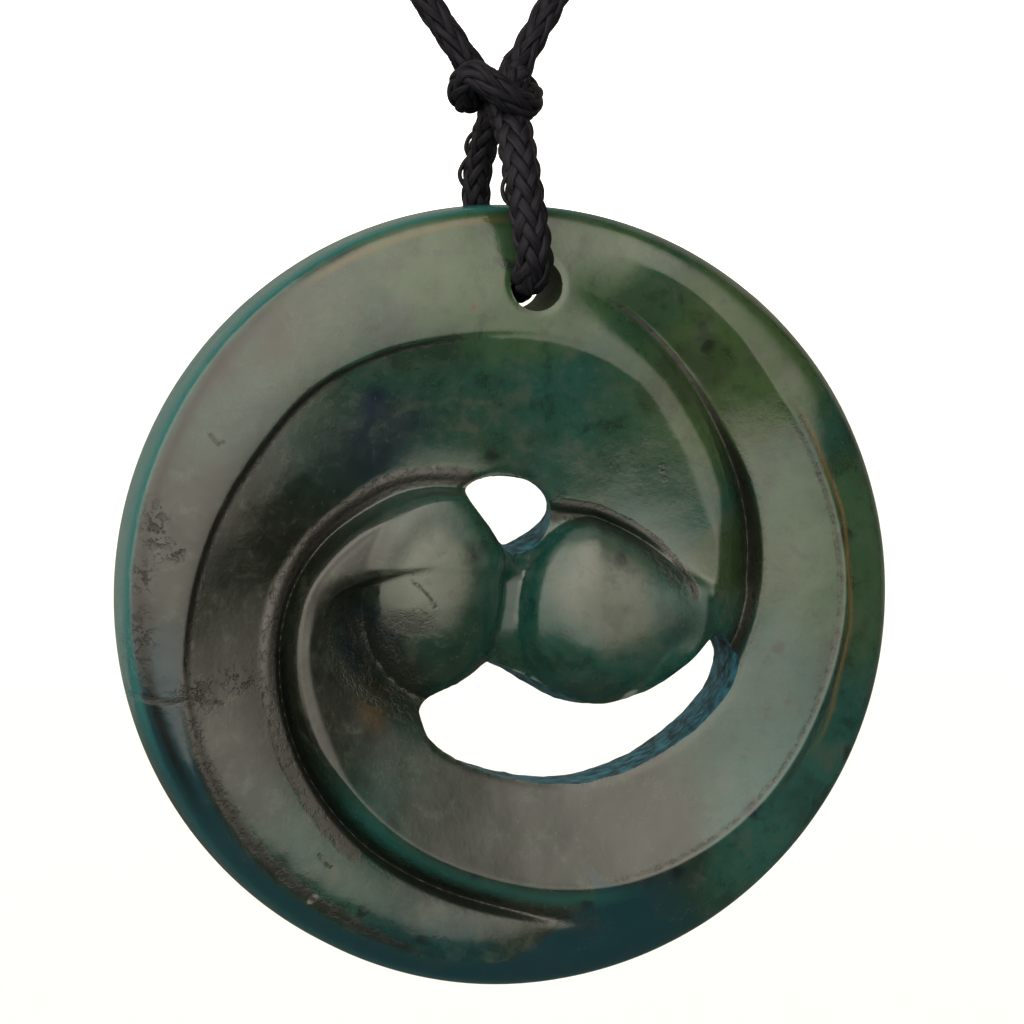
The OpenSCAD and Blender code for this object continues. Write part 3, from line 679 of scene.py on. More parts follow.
# Length in which a strand goes once round the cord, slack and where the neck loop is taut
LAY_SLACK, LAY_TAUT = 11.7, 16.5
BRAID_SIZES = {"Strand radius": 0.78 * MM, "Weave depth": 0.15 * MM, "Half width": 0.34 * MM,
               "Half thickness": 0.20 * MM, "Core radius": 0.66 * MM}
LOOSE_YARN_R = 0.15

MATHS, VECTORS, RANGE = "ShaderNodeMath", "ShaderNodeVectorMath", "ShaderNodeMapRange"
NOISE, MIX, BUMP = "ShaderNodeTexNoise", "ShaderNodeMix", "ShaderNodeBump"
SWEEP, CIRCLE = "GeometryNodeCurveToMesh", "GeometryNodeCurvePrimitiveCircle"
STORE = "GeometryNodeStoreNamedAttribute"


def new_tree(name, inputs):
    """A tree that turns one geometry into another, with named inputs for its sizes."""
    tree = bpy.data.node_groups.new(name, "GeometryNodeTree")
    for label, kind in [("Geometry", "Geometry")] + inputs + [("Material", "Material")]:
        tree.interface.new_socket(label, in_out="INPUT", socket_type="NodeSocket" + kind)
    tree.interface.new_socket("Geometry", in_out="OUTPUT", socket_type="NodeSocketGeometry")
    return tree, add_node(tree, "NodeGroupInput")


def end_tree(tree, given, shape):
    """The end of a tree: its shape, smooth and real and in its material."""
    smooth = add_node(tree, "GeometryNodeSetShadeSmooth", {"Geometry": shape, "Shade Smooth": True})
    real = add_node(tree, "GeometryNodeRealizeInstances", {"Geometry": smooth})
    dressed = add_node(tree, "GeometryNodeSetMaterial",
                       {"Geometry": real, "Material": (given, "Material")})
    add_node(tree, "NodeGroupOutput", {"Geometry": dressed})


def braid_tree():
    """Lays sixteen strands, eight turning each way, over two and under two along a line."""
    tree, given = new_tree("braid_of_sixteen", [(name, "Float") for name in BRAID_SIZES]
                           + [("Sides", "Int")])
    read = {name: add_node(tree, "GeometryNodeInputNamedAttribute", {"Name": name}, data_type=kind)
            for name, kind in (("strand", "FLOAT"), ("phase", "FLOAT"), ("fullness", "FLOAT"),
                               ("side", "FLOAT_VECTOR"), ("across", "FLOAT_VECTOR"),
                               ("outward", "FLOAT_VECTOR"))}
    line = add_node(tree, "GeometryNodeMeshToCurve", {"Mesh": (given, "Geometry")})
    strands = add_node(tree, "GeometryNodeDuplicateElements",
                       {"Geometry": line, "Amount": BRAID_STRANDS}, domain="SPLINE")
    strands = add_node(tree, STORE, {"Geometry": strands, "Name": "strand",
                                     "Value": (strands, "Duplicate Index")},
                       data_type="FLOAT", domain="CURVE")
    # Strands 0 to 7 turn one way and 8 to 15 the other, and each starts an eighth of a turn on
    other_way = add_node(tree, MATHS, {0: read["strand"], 1: BRAID_STRANDS / 2 - 0.5},
                         operation="GREATER_THAN")
    hand = add_node(tree, MATHS, {0: other_way, 1: -2.0, 2: 1.0}, operation="MULTIPLY_ADD")
    start = add_node(tree, MATHS, {0: read["strand"], 1: math.pi / 4}, operation="MULTIPLY")
    angle = add_node(tree, MATHS, {0: read["phase"], 1: hand, 2: start}, operation="MULTIPLY_ADD")
    # A strand lies over the others and under them four times in each turn
    beat = add_node(tree, MATHS, {0: angle, 1: 4.0, 2: math.pi / 4}, operation="MULTIPLY_ADD")
    wave = add_node(tree, MATHS, {0: beat}, operation="COSINE")
    over = add_node(tree, MATHS, {0: hand, 1: wave}, operation="MULTIPLY")
    woven = add_node(tree, MATHS, {0: over, 1: (given, "Weave depth"), 2: (given, "Strand radius")},
                     operation="MULTIPLY_ADD")
    radius = add_node(tree, MATHS, {0: woven, 1: read["fullness"]}, operation="MULTIPLY")
    shares = []
    for name, function in (("side", "COSINE"), ("across", "SINE")):
        share = add_node(tree, MATHS, {0: angle}, operation=function)
        shares.append(add_node(tree, VECTORS, {0: read[name], "Scale": share}, operation="SCALE"))
    outward = add_node(tree, VECTORS, {0: shares[0], 1: shares[1]}, operation="ADD")
    strands = add_node(tree, STORE, {"Geometry": strands, "Name": "outward", "Value": outward},
                       data_type="FLOAT_VECTOR", domain="POINT")
    moved = add_node(tree, VECTORS, {0: outward, "Scale": radius}, operation="SCALE")
    laid = add_node(tree, "GeometryNodeSetPosition", {"Geometry": strands, "Offset": moved})
    laid = add_node(tree, "GeometryNodeSetCurveNormal",
                    {"Curve": laid, "Normal": read["outward"]}, mode="FREE")
    # A strand is a flat yarn, which lies with its wide side on the core
    ring = add_node(tree, CIRCLE, {"Resolution": (given, "Sides"), "Radius": 1.0}, mode="RADIUS")
    ring = add_node(tree, STORE, {"Geometry": ring, "Name": "yarn_side",
                                  "Value": add_node(tree, "GeometryNodeInputPosition")},
                    data_type="FLOAT_VECTOR", domain="POINT")
    size = add_node(tree, "ShaderNodeCombineXYZ",
                    {"X": (given, "Half thickness"), "Y": (given, "Half width"), "Z": 1.0})
    profile = add_node(tree, "GeometryNodeTransform", {"Geometry": ring, "Scale": size})
    core_ring = add_node(tree, CIRCLE, {"Resolution": 6, "Radius": (given, "Core radius")},
                         mode="RADIUS")
    both = add_node(tree, "GeometryNodeJoinGeometry")
    for path, section in ((laid, profile), (line, core_ring)):
        made = add_node(tree, SWEEP, {"Curve": path, "Profile Curve": section,
                                      "Scale": read["fullness"], "Fill Caps": True})
        tree.links.new(made.outputs[0], both.inputs[0])
    end_tree(tree, given, both)
    return tree


def yarn_tree():
    """Sweeps a thin round yarn along a line."""
    tree, given = new_tree("loosened_yarn", [("Yarn radius", "Float")])
    line = add_node(tree, "GeometryNodeMeshToCurve", {"Mesh": (given, "Geometry")})
    ring = add_node(tree, CIRCLE, {"Resolution": 8, "Radius": (given, "Yarn radius")},
                    mode="RADIUS")
    yarn = add_node(tree, SWEEP, {"Curve": line, "Profile Curve": ring, "Fill Caps": True})
    end_tree(tree, given, yarn)
    return tree


# How far round the strands have turned at each place along the cord, counted from a place on
# the front leg of the pendant loop. The cord is slack up to 6 mm beyond the loop's ends, and
# taut from 9 mm beyond them
beyond = np.abs(whole_along - (LOOP_TOP + LOOP_BACK) / 2) - (LOOP_BACK - LOOP_TOP) / 2
tautness = np.clip((beyond - 6) / 3, 0, 1)
lay = mix(LAY_SLACK, LAY_TAUT, tautness)
phase = np.concatenate([[0], np.cumsum(2 * np.pi / lay[1:] * np.diff(whole_along))])
phase -= np.interp(LOOP_TOP + 6, whole_along, phase)
# How full the cord is: soft and wide on the front leg, and thinner behind and where it is taut
front_leg = 1 - ease((whole_along - mix(LOOP_TOP, LOOP_BACK, 0.4)) / 5)
fullness = mix(mix(0.86, 1.12, front_leg), 0.84, tautness)
# The stone squeezes the cord where it turns through the drilled hole
from_disc = whole_line - DISC
squeezed = (ease((from_disc[:, 1] + 6.9) / 0.9) * ease((0.6 - from_disc[:, 1]) / 0.9)
            * (from_disc[:, 2] < 21.0))
fullness *= 1 - 0.36 * squeezed


def on_cord(places, values):
    """What the cord's long line has at places along it."""
    return np.stack([np.interp(places, whole_along, column) for column in values.T], axis=1)


def swept(name, line, facts, tree, sizes, material):
    """What a tree makes along a line, with facts stored on each of its points."""
    mesh = bpy.data.meshes.new(name + "_line")
    mesh.from_pydata([tuple(p * MM) for p in line], [(i, i + 1) for i in range(len(line) - 1)], [])
    for key, values in facts.items():
        plain = values.ndim == 1
        layer = mesh.attributes.new(key, "FLOAT" if plain else "FLOAT_VECTOR", "POINT")
        layer.data.foreach_set("value" if plain else "vector", values.ravel())
    guide = bpy.data.objects.new(name + "_guide", mesh)
    bpy.context.collection.objects.link(guide)
    sweep = guide.modifiers.new("sweep", "NODES")
    sweep.node_group = tree
    sockets = {s.name: s.identifier for s in tree.interface.items_tree if s.in_out == "INPUT"}
    for label, setting in sizes.items():
        sweep[sockets[label]] = setting
    sweep[sockets["Material"]] = material
    made = plain_mesh(guide, name)
    made.data.materials.clear()
    made.data.materials.append(material)
    made.data.polygons.foreach_set("material_index", [0] * len(made.data.polygons))
    return made


def braided(name, places, tree, material, sides=10, thick=1.0, line=None):
    """A stretch of the braided cord through places along its centre line, or along a line of
    its own."""
    if line is None:
        line, sideways = on_cord(places, whole_line), on_cord(places, whole_side)
        ahead = headings(line)
        turned = np.interp(places, whole_along, phase)
        full = np.interp(places, whole_along, fullness) * thick
    else:
        ahead = headings(line)
        # Any direction that the line doesn't start in does for this
        sideways = sideways_along(ahead, np.cross(ahead[0], [0.3, 0.2, 1.0]))
        turned, full = 2 * np.pi * places / LAY_SLACK, np.full(len(line), thick)
    sideways = sideways - np.sum(sideways * ahead, axis=1)[:, None] * ahead
    sideways /= np.linalg.norm(sideways, axis=1)[:, None]
    facts = {"phase": turned, "fullness": full, "side": sideways,
             "across": np.cross(ahead, sideways), "along": places}
    return swept(name, line, facts, tree, {**BRAID_SIZES, "Sides": sides}, material)


def loosened(name, points, tree, material):
    """A yarn pulled out of the braid in a small open loop."""
    return swept(name, smooth_line(in_disc(points), 8), {}, tree,
                 {"Yarn radius": LOOSE_YARN_R * MM}, material)


def joined(name, parts):
    """Several plain meshes as one piece."""
    bpy.ops.object.select_all(action="DESELECT")
    for part in parts:
        part.select_set(True)
    bpy.context.view_layer.objects.active = parts[0]
    bpy.ops.object.join()
    made = bpy.context.view_layer.objects.active
    made.name = name
    made.data.name = name
    return made


# Materials

NEPHRITE_IOR = 1.61


def new_material(name, values):
    """A material with these plain values, its tree and its shader."""
    material = bpy.data.materials.new(name)
    material.use_nodes = True
    shader = material.node_tree.nodes["Principled BSDF"]
    for where, value in values.items():
        shader.inputs[where].default_value = value
    return material, material.node_tree, shader


def grained(tree, shader, grain, dark, light, strength, deep):
    """Gives a finish its grain, from a dark colour to a light one, and `deep` millimetres deep."""
    share = add_node(tree, RANGE, {0: grain, 1: 0.35, 2: 0.65}, interpolation_type="SMOOTHSTEP")
    colour = add_node(tree, MIX, {"Factor": share, 6: hex_colour(dark), 7: hex_colour(light)},
                      data_type="RGBA")
    bump = add_node(tree, BUMP, {"Height": grain, "Strength": strength, "Distance": deep * MM})
    tree.links.new(colour.outputs[2], shader.inputs["Base Color"])
    tree.links.new(bump.outputs[0], shader.inputs["Normal"])


# Colour zones of the stone, with painted shade and painted reflection among them: middle across and
# up, radius, how soft, colour
STONE_ZONES = [
    (0.0, 26.5, 12.5, 3.0, "#29422a"),
    (14.0, 14.0, 9.0, 5.0, "#2b4024"),
    (22.0, 2.0, 8.0, 4.0, "#28412c"),
    (14.8, 2.0, 4.5, 3.0, "#20331b"),
    (2.0, -15.0, 13.0, 6.0, "#1a231e"),
    (-18.0, -2.0, 19.0, 12.0, "#10150f"),
    (-8.5, 10.0, 5.0, 4.5, "#0f2128"),
    # Teal along the bottom rim: partly the stone's own colour, partly painted shade where it faces
    # down
    (-6.0, -26.0, 8.5, 4.0, "#0a2e2f"),
    (8.0, -26.0, 8.0, 4.0, "#0a302e"),
    (19.0, -14.5, 8.0, 5.0, "#1a423d"),
    # Painted shade in the hollow beside the first ball
    (-9.6, -2.6, 3.4, 2.0, "#07161d"),
    (-9.8, -7.0, 1.9, 1.6, "#2a200c"),
    # Lighter grey over both balls: partly the stone's own grey, partly painted reflection of the
    # windows
    (-5.6, 1.6, 4.4, 2.6, "#3d483e"),
    (6.2, 0.4, 4.6, 2.8, "#3b463d"),
    (-15.8, 17.0, 3.2, 3.0, "#141b15"),
    (-19.6, 15.6, 2.6, 2.4, "#171d17"),
    (-8.6, 12.0, 1.2, 1.0, "#0b1a2c"),
    (15.7, -14.2, 0.9, 0.7, "#0a1d2a"),
    (23.9, -2.3, 0.6, 0.4, "#231a2c"),
    (-3.9, 18.6, 0.35, 0.2, "#4a1d10"),
    (-14.0, -18.5, 0.5, 0.25, "#8f9388"),
]
# Zones with less reach than this don't show on the back. The edges of all drift by up to half
# of the second value
SMALL_ZONE, DRIFT = 6, 6.0


def hand_polished_nephrite():
    """Nephrite shaped with grit and polished by hand. It gives a deep green that changes from
    blue green to olive, cloudy and flecked, under a gloss that mirrors the windows softly, and
    grey, pitted grooves, where the polishing doesn't reach. Its colour also holds painted shade in
    the grooves, the hollow, thin lines under the crests and along the lower rim, lighter grey
    partly painted as reflection on the balls, and painted light on the thin side wall."""
    material, tree, shader = new_material("hand_polished_nephrite", {"IOR": NEPHRITE_IOR})
    where = (add_node(tree, "ShaderNodeTexCoord"), "Object")
    fact = {name: (add_node(tree, "ShaderNodeAttribute", attribute_name=name), "Fac")
            for name in ("groove", "fretted", "line", "vein", "rim", "edge_line", "pitted", "seam",
                         "side_wall")}
    # Patterns: how many millimetres their patches are across, their detail and their roughness
    pattern = {name: add_node(tree, NOISE, {"Vector": where, "Scale": 1000 / size,
                                            "Detail": detail, "Roughness": rough})
               for name, size, detail, rough in (
                   ("cloud", 9.0, 4.0, 0.55), ("drift", 6.0, 3.0, 0.5), ("clouded", 5.5, 3.0, 0.6),
                   ("mottle", 1.1, 5.0, 0.72), ("grain", 0.35, 3.0, 0.7), ("pits", 0.55, 4.0, 0.75),
                   ("ragged", 1.3, 4.0, 0.7), ("uneven", 3.2, 2.0, 0.5), ("facets", 5.5, 1.0, 0.4))}
    drift = add_node(tree, VECTORS,
                     {0: (pattern["drift"], "Color"), 1: (DRIFT * MM,) * 3, 2: where},
                     operation="MULTIPLY_ADD")
    # Felted fibres, in patches of 2 to 3 mm, and dark mineral specks, a few to a square centimetre
    pattern["felt"] = add_node(tree, NOISE, {"Vector": drift, "Scale": 1000 / 2.4,
                                             "Detail": 5.0, "Roughness": 0.62})
    specks = add_node(tree, "ShaderNodeTexVoronoi", {"Vector": drift, "Scale": 1000 / 4.6})
    depth = (add_node(tree, "ShaderNodeSeparateXYZ", {0: where}), "Y")
    # Shares worked out from them: from and to which value, and the share at each of these
    share = {name: add_node(tree, RANGE, {0: value, 1: low, 2: high, 3: least, 4: most},
                            interpolation_type="SMOOTHSTEP")
             for name, value, low, high, least, most in (
                 ("cloud", pattern["cloud"], 0.35, 0.7, 0.0, 1.0),
                 ("in_front", depth, (DISC[1] - 1.5) * MM, (DISC[1] - 3.5) * MM, 0.0, 1.0),
                 ("specks", (specks, "Distance"), 0.16, 0.05, 0.0, 1.0),
                 ("groove_shade", pattern["grain"], 0.3, 0.6, 0.55, 0.95),
                 ("chipped", pattern["pits"], 0.4, 0.46, 0.0, 1.0),
                 ("sunk", pattern["pits"], 0.5, 0.42, 0.0, 1.0),
                 ("standing", pattern["pits"], 0.4, 0.52, 0.0, 1.0),
                 ("gloss", pattern["felt"], 0.3, 0.7, 0.13, 0.24))}

    # Layers of colour, from the lowest up: each is a share and a colour
    layers = []
    for x, z, reach, soft, code in STONE_ZONES:
        spot = DISC + np.array([x, -5.0, z])
        moved = add_node(tree, "ShaderNodeMapping",
                         {"Vector": drift, "Location": tuple((-spot - DRIFT / 2) * MM)})
        flat = add_node(tree, VECTORS, {0: moved, 1: (1.0, 0.0, 1.0)}, operation="MULTIPLY")
        far = (add_node(tree, VECTORS, {0: flat}, operation="LENGTH"), "Value")
        within = add_node(tree, RANGE, {0: far, 1: reach * MM, 2: (reach - soft) * MM},
                          interpolation_type="SMOOTHSTEP")
        if reach < SMALL_ZONE:
            within = add_node(tree, MATHS, {0: within, 1: share["in_front"]}, operation="MULTIPLY")
        layers.append((within, code))
    for name, low, high, most, code in (
            ("felt", 0.52, 0.72, 0.6, "#354037"), ("mottle", 0.52, 0.68, 0.17, "#454b3e"),
            ("mottle", 0.48, 0.34, 0.28, "#070d0b"), ("felt", 0.46, 0.3, 0.45, "#0a1411"),
            ("grain", 0.58, 0.75, 0.35, "#3c463c"), ("clouded", 0.47, 0.34, 0.35, "#0d120e")):
        layers.append((add_node(tree, RANGE, {0: pattern[name], 1: low, 2: high, 4: most},
                                interpolation_type="SMOOTHSTEP"), code))
    # The fretted strips' edges are ragged where the polishing reached down between the chips
    ragged = add_node(tree, MATHS, {0: pattern["ragged"], 1: 1.6, 2: -0.8},
                      operation="MULTIPLY_ADD")
    fretted = add_node(tree, MATHS, {0: ragged, 1: fact["fretted"], 2: fact["fretted"]},
                       operation="MULTIPLY_ADD")
    fretted = add_node(tree, RANGE, {0: fretted, 1: 0.35, 2: 0.75}, interpolation_type="SMOOTHSTEP")
    worked = add_node(tree, MATHS, {0: fretted, 1: share["chipped"]}, operation="MULTIPLY")
    holes = add_node(tree, MATHS, {0: fact["pitted"], 1: share["sunk"]}, operation="MULTIPLY")
    # Painted shade: the thin lines under the crests, with the real cracks and the dark line by the
    # left rim
    dark = add_node(tree, MATHS, {0: fact["line"], 1: fact["edge_line"]}, operation="MAXIMUM")
    for mark, much, code in (
            # The lower rim, partly the stone's teal and partly painted shade where it faces down
            (fact["rim"], 0.85, "#072a33"), (fact["seam"], 0.8, "#16403c"),
            # Painted shade in the grooves and the hollow
            (share["specks"], 0.65, "#070c10"), (fact["groove"], share["groove_shade"], "#121b12"),
            (fretted, 0.7, "#0c0d0b"), (worked, 0.65, "#282724"), (holes, 0.9, "#0d0b0f"),
            (dark, 0.97, "#080a05"), (fact["vein"], 0.6, "#5b4a1e"),
            # Painted light: light that enters the stone and comes out again at its thin edge,
            # painted into its colour
            (fact["side_wall"], 0.8, "#1f5a5a")):
        layers.append((add_node(tree, MATHS, {0: mark, 1: much}, operation="MULTIPLY"), code))
    colour = hex_colour("#123a35")
    for much, code in [(share["cloud"], "#193224")] + layers:
        colour = (add_node(tree, MIX, {"Factor": much, 6: colour, 7: hex_colour(code)},
                           data_type="RGBA"), 2)
    tree.links.new(colour[0].outputs[2], shader.inputs["Base Color"])

    # The polish is a little uneven, and missing in the grooves, the strips and the marks
    unpolished = add_node(tree, MATHS, {0: fact["line"], 1: holes}, operation="MAXIMUM")
    for mark, much in ((fretted, 0.55), (fact["groove"], 0.6)):
        part = add_node(tree, MATHS, {0: mark, 1: much}, operation="MULTIPLY")
        unpolished = add_node(tree, MATHS, {0: part, 1: unpolished}, operation="MAXIMUM")
    rough = add_node(tree, MIX, {0: unpolished, 2: share["gloss"], 3: 0.6}, data_type="FLOAT")
    tree.links.new(rough.outputs[0], shader.inputs["Roughness"])
    # The hand-held grit leaves the surface slightly uneven, and the grooves pitted: how strongly
    # each unevenness shows and how many millimetres deep it is
    chips = add_node(tree, MATHS, {0: share["standing"], 1: -1.4}, operation="ADD")
    chips = add_node(tree, MATHS, {0: chips, 1: unpolished}, operation="MULTIPLY")
    bump = add_node(tree, BUMP, {"Height": pattern["uneven"], "Strength": 1.0,
                                 "Distance": 0.07 * MM})
    for height, strength, deep in ((pattern["facets"], 1.0, 0.16), (pattern["grain"], 0.8, 0.014),
                                   (chips, 0.6, 0.08)):
        bump = add_node(tree, BUMP, {"Height": height, "Strength": strength, "Distance": deep * MM,
                                     "Normal": bump})
    tree.links.new(bump.outputs[0], shader.inputs["Normal"])
    return material


def sawn_nephrite():
    """Nephrite as the wire saw leaves it: unpolished and rough with fine steps, and grey blue,
    partly its own colour and partly painted light that comes through the stone.
    """
    material, tree, shader = new_material("sawn_nephrite", {
        "IOR": NEPHRITE_IOR, "Roughness": 0.6, "Specular IOR Level": 0.2})
    where = (add_node(tree, "ShaderNodeTexCoord"), "Object")
    steps = add_node(tree, NOISE, {"Vector": where, "Scale": 1000 / 0.8, "Detail": 4.0,
                                   "Roughness": 0.65})
    # The grey blue is partly the stone's colour and partly painted light coming through the stone
    # from behind
    grained(tree, shader, steps, "#06262e", "#186273", 0.6, 0.3)
    return material


def drilled_nephrite():
    """Nephrite as a diamond drill leaves it: a dull, finely scored wall whose olive green shows."""
    material, tree, shader = new_material("drilled_nephrite", {
        "IOR": NEPHRITE_IOR, "Roughness": 0.5, "Specular IOR Level": 0.08})
    where = (add_node(tree, "ShaderNodeTexCoord"), "Object")
    scores = add_node(tree, NOISE, {"Vector": where, "Scale": 1000 / 0.5, "Detail": 3.0,
                                    "Roughness": 0.6})
    grained(tree, shader, scores, "#1c3018", "#2f4724", 0.5, 0.1)
    return material


def waxed_black_braid():
    """Waxed polyester braid. It gives an almost black cord with a slight sheen, whose yarns show
    their fine filaments as streaks along them."""
    material, tree, shader = new_material("waxed_black_braid", {
        "Roughness": 0.45, "Specular IOR Level": 0.22, "Specular Tint": hex_colour("#dadcf0")})
    fact = {name: add_node(tree, "ShaderNodeAttribute", attribute_name=name)
            for name in ("yarn_side", "along", "strand")}
    across = add_node(tree, "ShaderNodeSeparateXYZ", {0: (fact["yarn_side"], "Vector")})
    lines = add_node(tree, "ShaderNodeCombineXYZ", {
        "X": (across, "Y"), "Y": (fact["along"], "Fac"), "Z": (fact["strand"], "Fac")})
    # Single filaments are too fine to show, so about eight bundles of them lie side by side
    # across a yarn, and change every millimetre or so along it and from strand to strand
    scaled = add_node(tree, VECTORS, {0: lines, 1: (5.0, 0.9, 3.7)}, operation="MULTIPLY")
    streaks = add_node(tree, NOISE, {"Vector": scaled, "Scale": 1.0, "Detail": 2.0})
    grained(tree, shader, streaks, "#08080a", "#18181e", 0.8, 0.12)
    return material


polished, sawn, drilled = hand_polished_nephrite(), sawn_nephrite(), drilled_nephrite()
waxed = waxed_black_braid()


# The cord's pieces

# How far apart the mesh's rings are on the loop and the knots, on the stretch of the neck cord
# that the photograph shows, and on the rest of it
FINE, SEEN, UNSEEN = 0.12, 0.14, 0.5
SEEN_LENGTH = 12
# The parts of the front knot lap into the pieces beside them by this much
KNOT_LAP = 0.3
braid = braid_tree()
loosened_yarns = yarn_tree()
loop = joined("braided_loop", [
    braided("loop_braid", np.arange(LOOP_TOP - LOOP_TUCKED, LOOP_BACK + LOOP_TUCKED, FINE),
            braid, waxed, 10)] + [
    loosened(f"loosened_yarn_{i}", points, loosened_yarns, waxed)
    for i, points in enumerate(LOOSENED)])
knot = joined("tied_knot", [
    braided("knot_core", np.arange(RIGHT_KNOT - KNOT_LAP, LOOP_TOP + KNOT_LAP, FINE),
            braid, waxed, 10, 0.95),
    braided("knot_turn", np.arange(LOOP_BACK - KNOT_LAP, LEFT_KNOT + KNOT_LAP, FINE),
            braid, waxed, 10, 1.05)])
right_side = braided("braided_neck_right", np.concatenate(
    [np.arange(0, RIGHT_KNOT - SEEN_LENGTH, UNSEEN),
     np.arange(RIGHT_KNOT - SEEN_LENGTH, RIGHT_KNOT, SEEN)]), braid, waxed, 8)
left_side = braided("braided_neck_left", np.concatenate(
    [np.arange(LEFT_KNOT, LEFT_KNOT + SEEN_LENGTH, SEEN),
     np.arange(LEFT_KNOT + SEEN_LENGTH, CORD_END, UNSEEN), [CORD_END]]), braid, waxed, 8)
# Behind the neck the ends are whipped together with turns of the same cord. Its middle line
# lies this far from theirs and reaches this far to each side; a radian of it is this long
COIL_R, COIL_REACH, TURNS, RADIAN_LENGTH = 1.72, 3.95, 4.3, 1.75
coil = np.arange(0, TURNS * 2 * np.pi, 0.12)
coil_line = np.stack([(2 * coil / coil[-1] - 1) * COIL_REACH, COIL_R * np.cos(coil),
                      NAPE_D / 2 + COIL_R * np.sin(coil)], axis=1)
ends = np.arange(-5.2, 5.21, 0.13)
ends_line = np.stack([ends, 0 * ends, 0 * ends + NAPE_D / 2], axis=1)
closing = joined("braided_nape_knot", [
    braided("whipping", coil * RADIAN_LENGTH, braid, waxed, 8, 0.97, coil_line),
    braided("whipped_ends", ends - ends[0], braid, waxed, 8, 0.94, ends_line)])


# The stone

finishes = [polished, sawn, drilled]
blank = stone_blank(finishes)
forms = [saw_form(OPENINGS[0], finishes, outline(TOP_OPENING_BACK, 8)),
         saw_form(OPENINGS[1], finishes), drill_form(finishes)]
for form in forms:
    cut = blank.modifiers.new(form.name, "BOOLEAN")
    cut.operation, cut.solver, cut.object = "DIFFERENCE", "EXACT", form
stone = plain_mesh(blank, "carved_stone")
for form in forms:
    bpy.data.objects.remove(form)
face_facts(stone.data)
stone.data.set_sharp_from_angle(angle=math.radians(50))


# Which body each piece moves with, and the node it stands for

for piece, node, body, finish in ((stone, "koru_disc", "stone", "greenstone"),
                                  (loop, "pendant_loop", "cord", "cord"),
                                  (knot, "front_knot", "cord", "cord"),
                                  (right_side, "neck_cord_right", "cord", "cord"),
                                  (left_side, "neck_cord_left", "cord", "cord"),
                                  (closing, "nape_knot", "cord", "cord")):
    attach(piece, body)
    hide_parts(node)


# Floor, backdrop and light

floor_z = DISC[2] - 62
# The sheets are wide enough for the views from behind, which stand about 2 m away
reach, back, tall, curve = 7500, 3000, 6500, 900


def paper(name, colour, glow):
    """Matt paper that glows a little, for an even, nearly white ground."""
    return new_material(name, {
        "Base Color": hex_colour(colour), "Roughness": 0.9,
        "Emission Color": hex_colour("#ffffff"), "Emission Strength": glow})[0]


corners = ((-reach, -reach), (reach, -reach), (reach, back), (-reach, back))
floor = mesh_from("pale_floor", [np.array([x, y, floor_z]) for x, y in corners],
                  [(0, 1, 2, 3)], [paper("pale_paper", "#e9e7e2", 0.1)])
bend = [(back + curve * math.sin(t), floor_z + curve * (1 - math.cos(t)))
        for t in np.linspace(0, math.pi / 2, 9)] + [(back + curve, floor_z + tall)]
backdrop = mesh_from("white_backdrop",
                     [np.array([x, y, z]) for y, z in bend for x in (-reach, reach)],
                     [(2 * i, 2 * i + 1, 2 * i + 3, 2 * i + 2) for i in range(len(bend) - 1)],
                     [paper("white_paper", "#f6f5f3", 0.75)])
for sheet in (floor, backdrop):
    sheet.visible_glossy = False

world = bpy.data.worlds.new("studio")
bpy.context.scene.world = world
world.use_nodes = True
sky = world.node_tree
sky.nodes.clear()
where = (add_node(sky, "ShaderNodeTexCoord"), "Generated")
ray = add_node(sky, "ShaderNodeSeparateXYZ", {0: where})
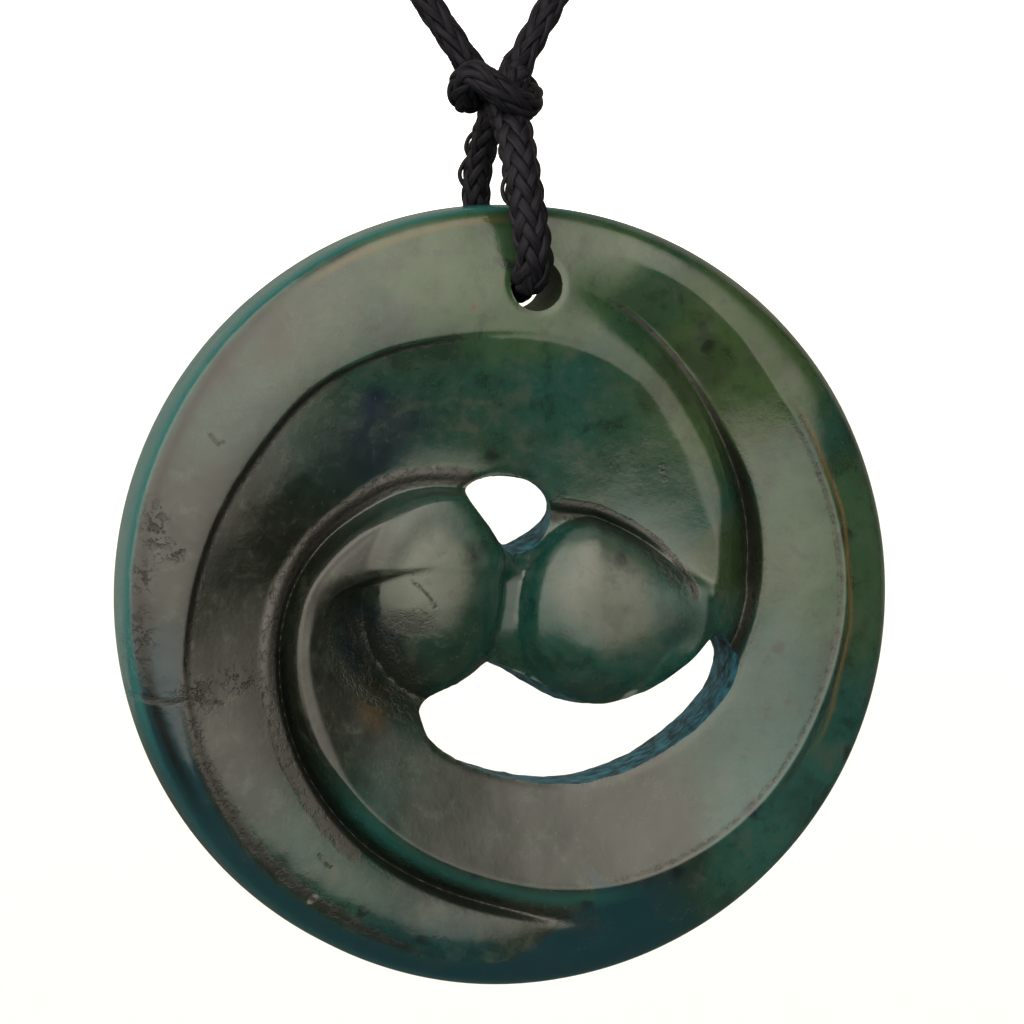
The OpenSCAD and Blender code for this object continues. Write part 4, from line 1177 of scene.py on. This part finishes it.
# How far each direction turns to the right of the one in front of the stone, and how far it rises
ahead_of = add_node(sky, MATHS, {0: (ray, "Y"), 1: -1.0}, operation="MULTIPLY")
turned = add_node(sky, MATHS, {0: (ray, "X"), 1: ahead_of}, operation="ARCTAN2")
risen = add_node(sky, MATHS, {0: (ray, "Z")}, operation="ARCSINE")
# The windows end below at this height, which rises in steps from left to right (all in degrees)
lowest = -23.0
for start, end, rise in ((30, 42, 12), (46, 60, 64)):
    step = add_node(sky, RANGE, {0: turned, 1: math.radians(start), 2: math.radians(end), 4: rise},
                    interpolation_type="SMOOTHSTEP")
    lowest = add_node(sky, MATHS, {0: step, 1: lowest}, operation="ADD")
degrees = add_node(sky, MATHS, {0: risen, 1: 180 / math.pi}, operation="MULTIPLY")
above = add_node(sky, MATHS, {0: degrees, 1: lowest}, operation="SUBTRACT")
# Their light, and where it fades: between which degrees, and from how much to how much
light = add_node(sky, RANGE, {0: above, 1: 0.0, 2: 7.0}, interpolation_type="SMOOTHSTEP")
for angle, start, end, least, most in (
        (risen, -25, 25, 1.5, 3.2), (turned, 52, -8, 0.0, 1.0), (risen, 74, 56, 0.25, 1.0),
        (turned, -112, -104, 0.0, 1.0), (turned, 110, 100, 0.0, 1.0),
        (turned, -50, -10, 0.78, 1.0)):
    fade = add_node(sky, RANGE, {0: angle, 1: math.radians(start), 2: math.radians(end),
                                 3: least, 4: most}, interpolation_type="SMOOTHSTEP")
    light = add_node(sky, MATHS, {0: light, 1: fade}, operation="MULTIPLY")
# The room is dim, and a little brighter behind the stone, except low down
dimmed = add_node(sky, MATHS, {0: light, 1: 0.08}, operation="ADD")
behind = add_node(sky, RANGE, {0: (ray, "Y"), 1: 0.35, 2: 0.5}, interpolation_type="SMOOTHSTEP")
fade = add_node(sky, RANGE, {0: risen, 1: math.radians(-12), 2: math.radians(-6), 4: 0.3},
                interpolation_type="SMOOTHSTEP")
behind = add_node(sky, MATHS, {0: behind, 1: fade}, operation="MULTIPLY")
total = add_node(sky, MATHS, {0: dimmed, 1: behind}, operation="MAXIMUM")
glow = add_node(sky, "ShaderNodeBackground", {"Color": hex_colour("#fff4e4"), "Strength": total})
add_node(sky, "ShaderNodeOutputWorld", {"Surface": glow})
bpy.context.scene.view_settings.view_transform = "Standard"
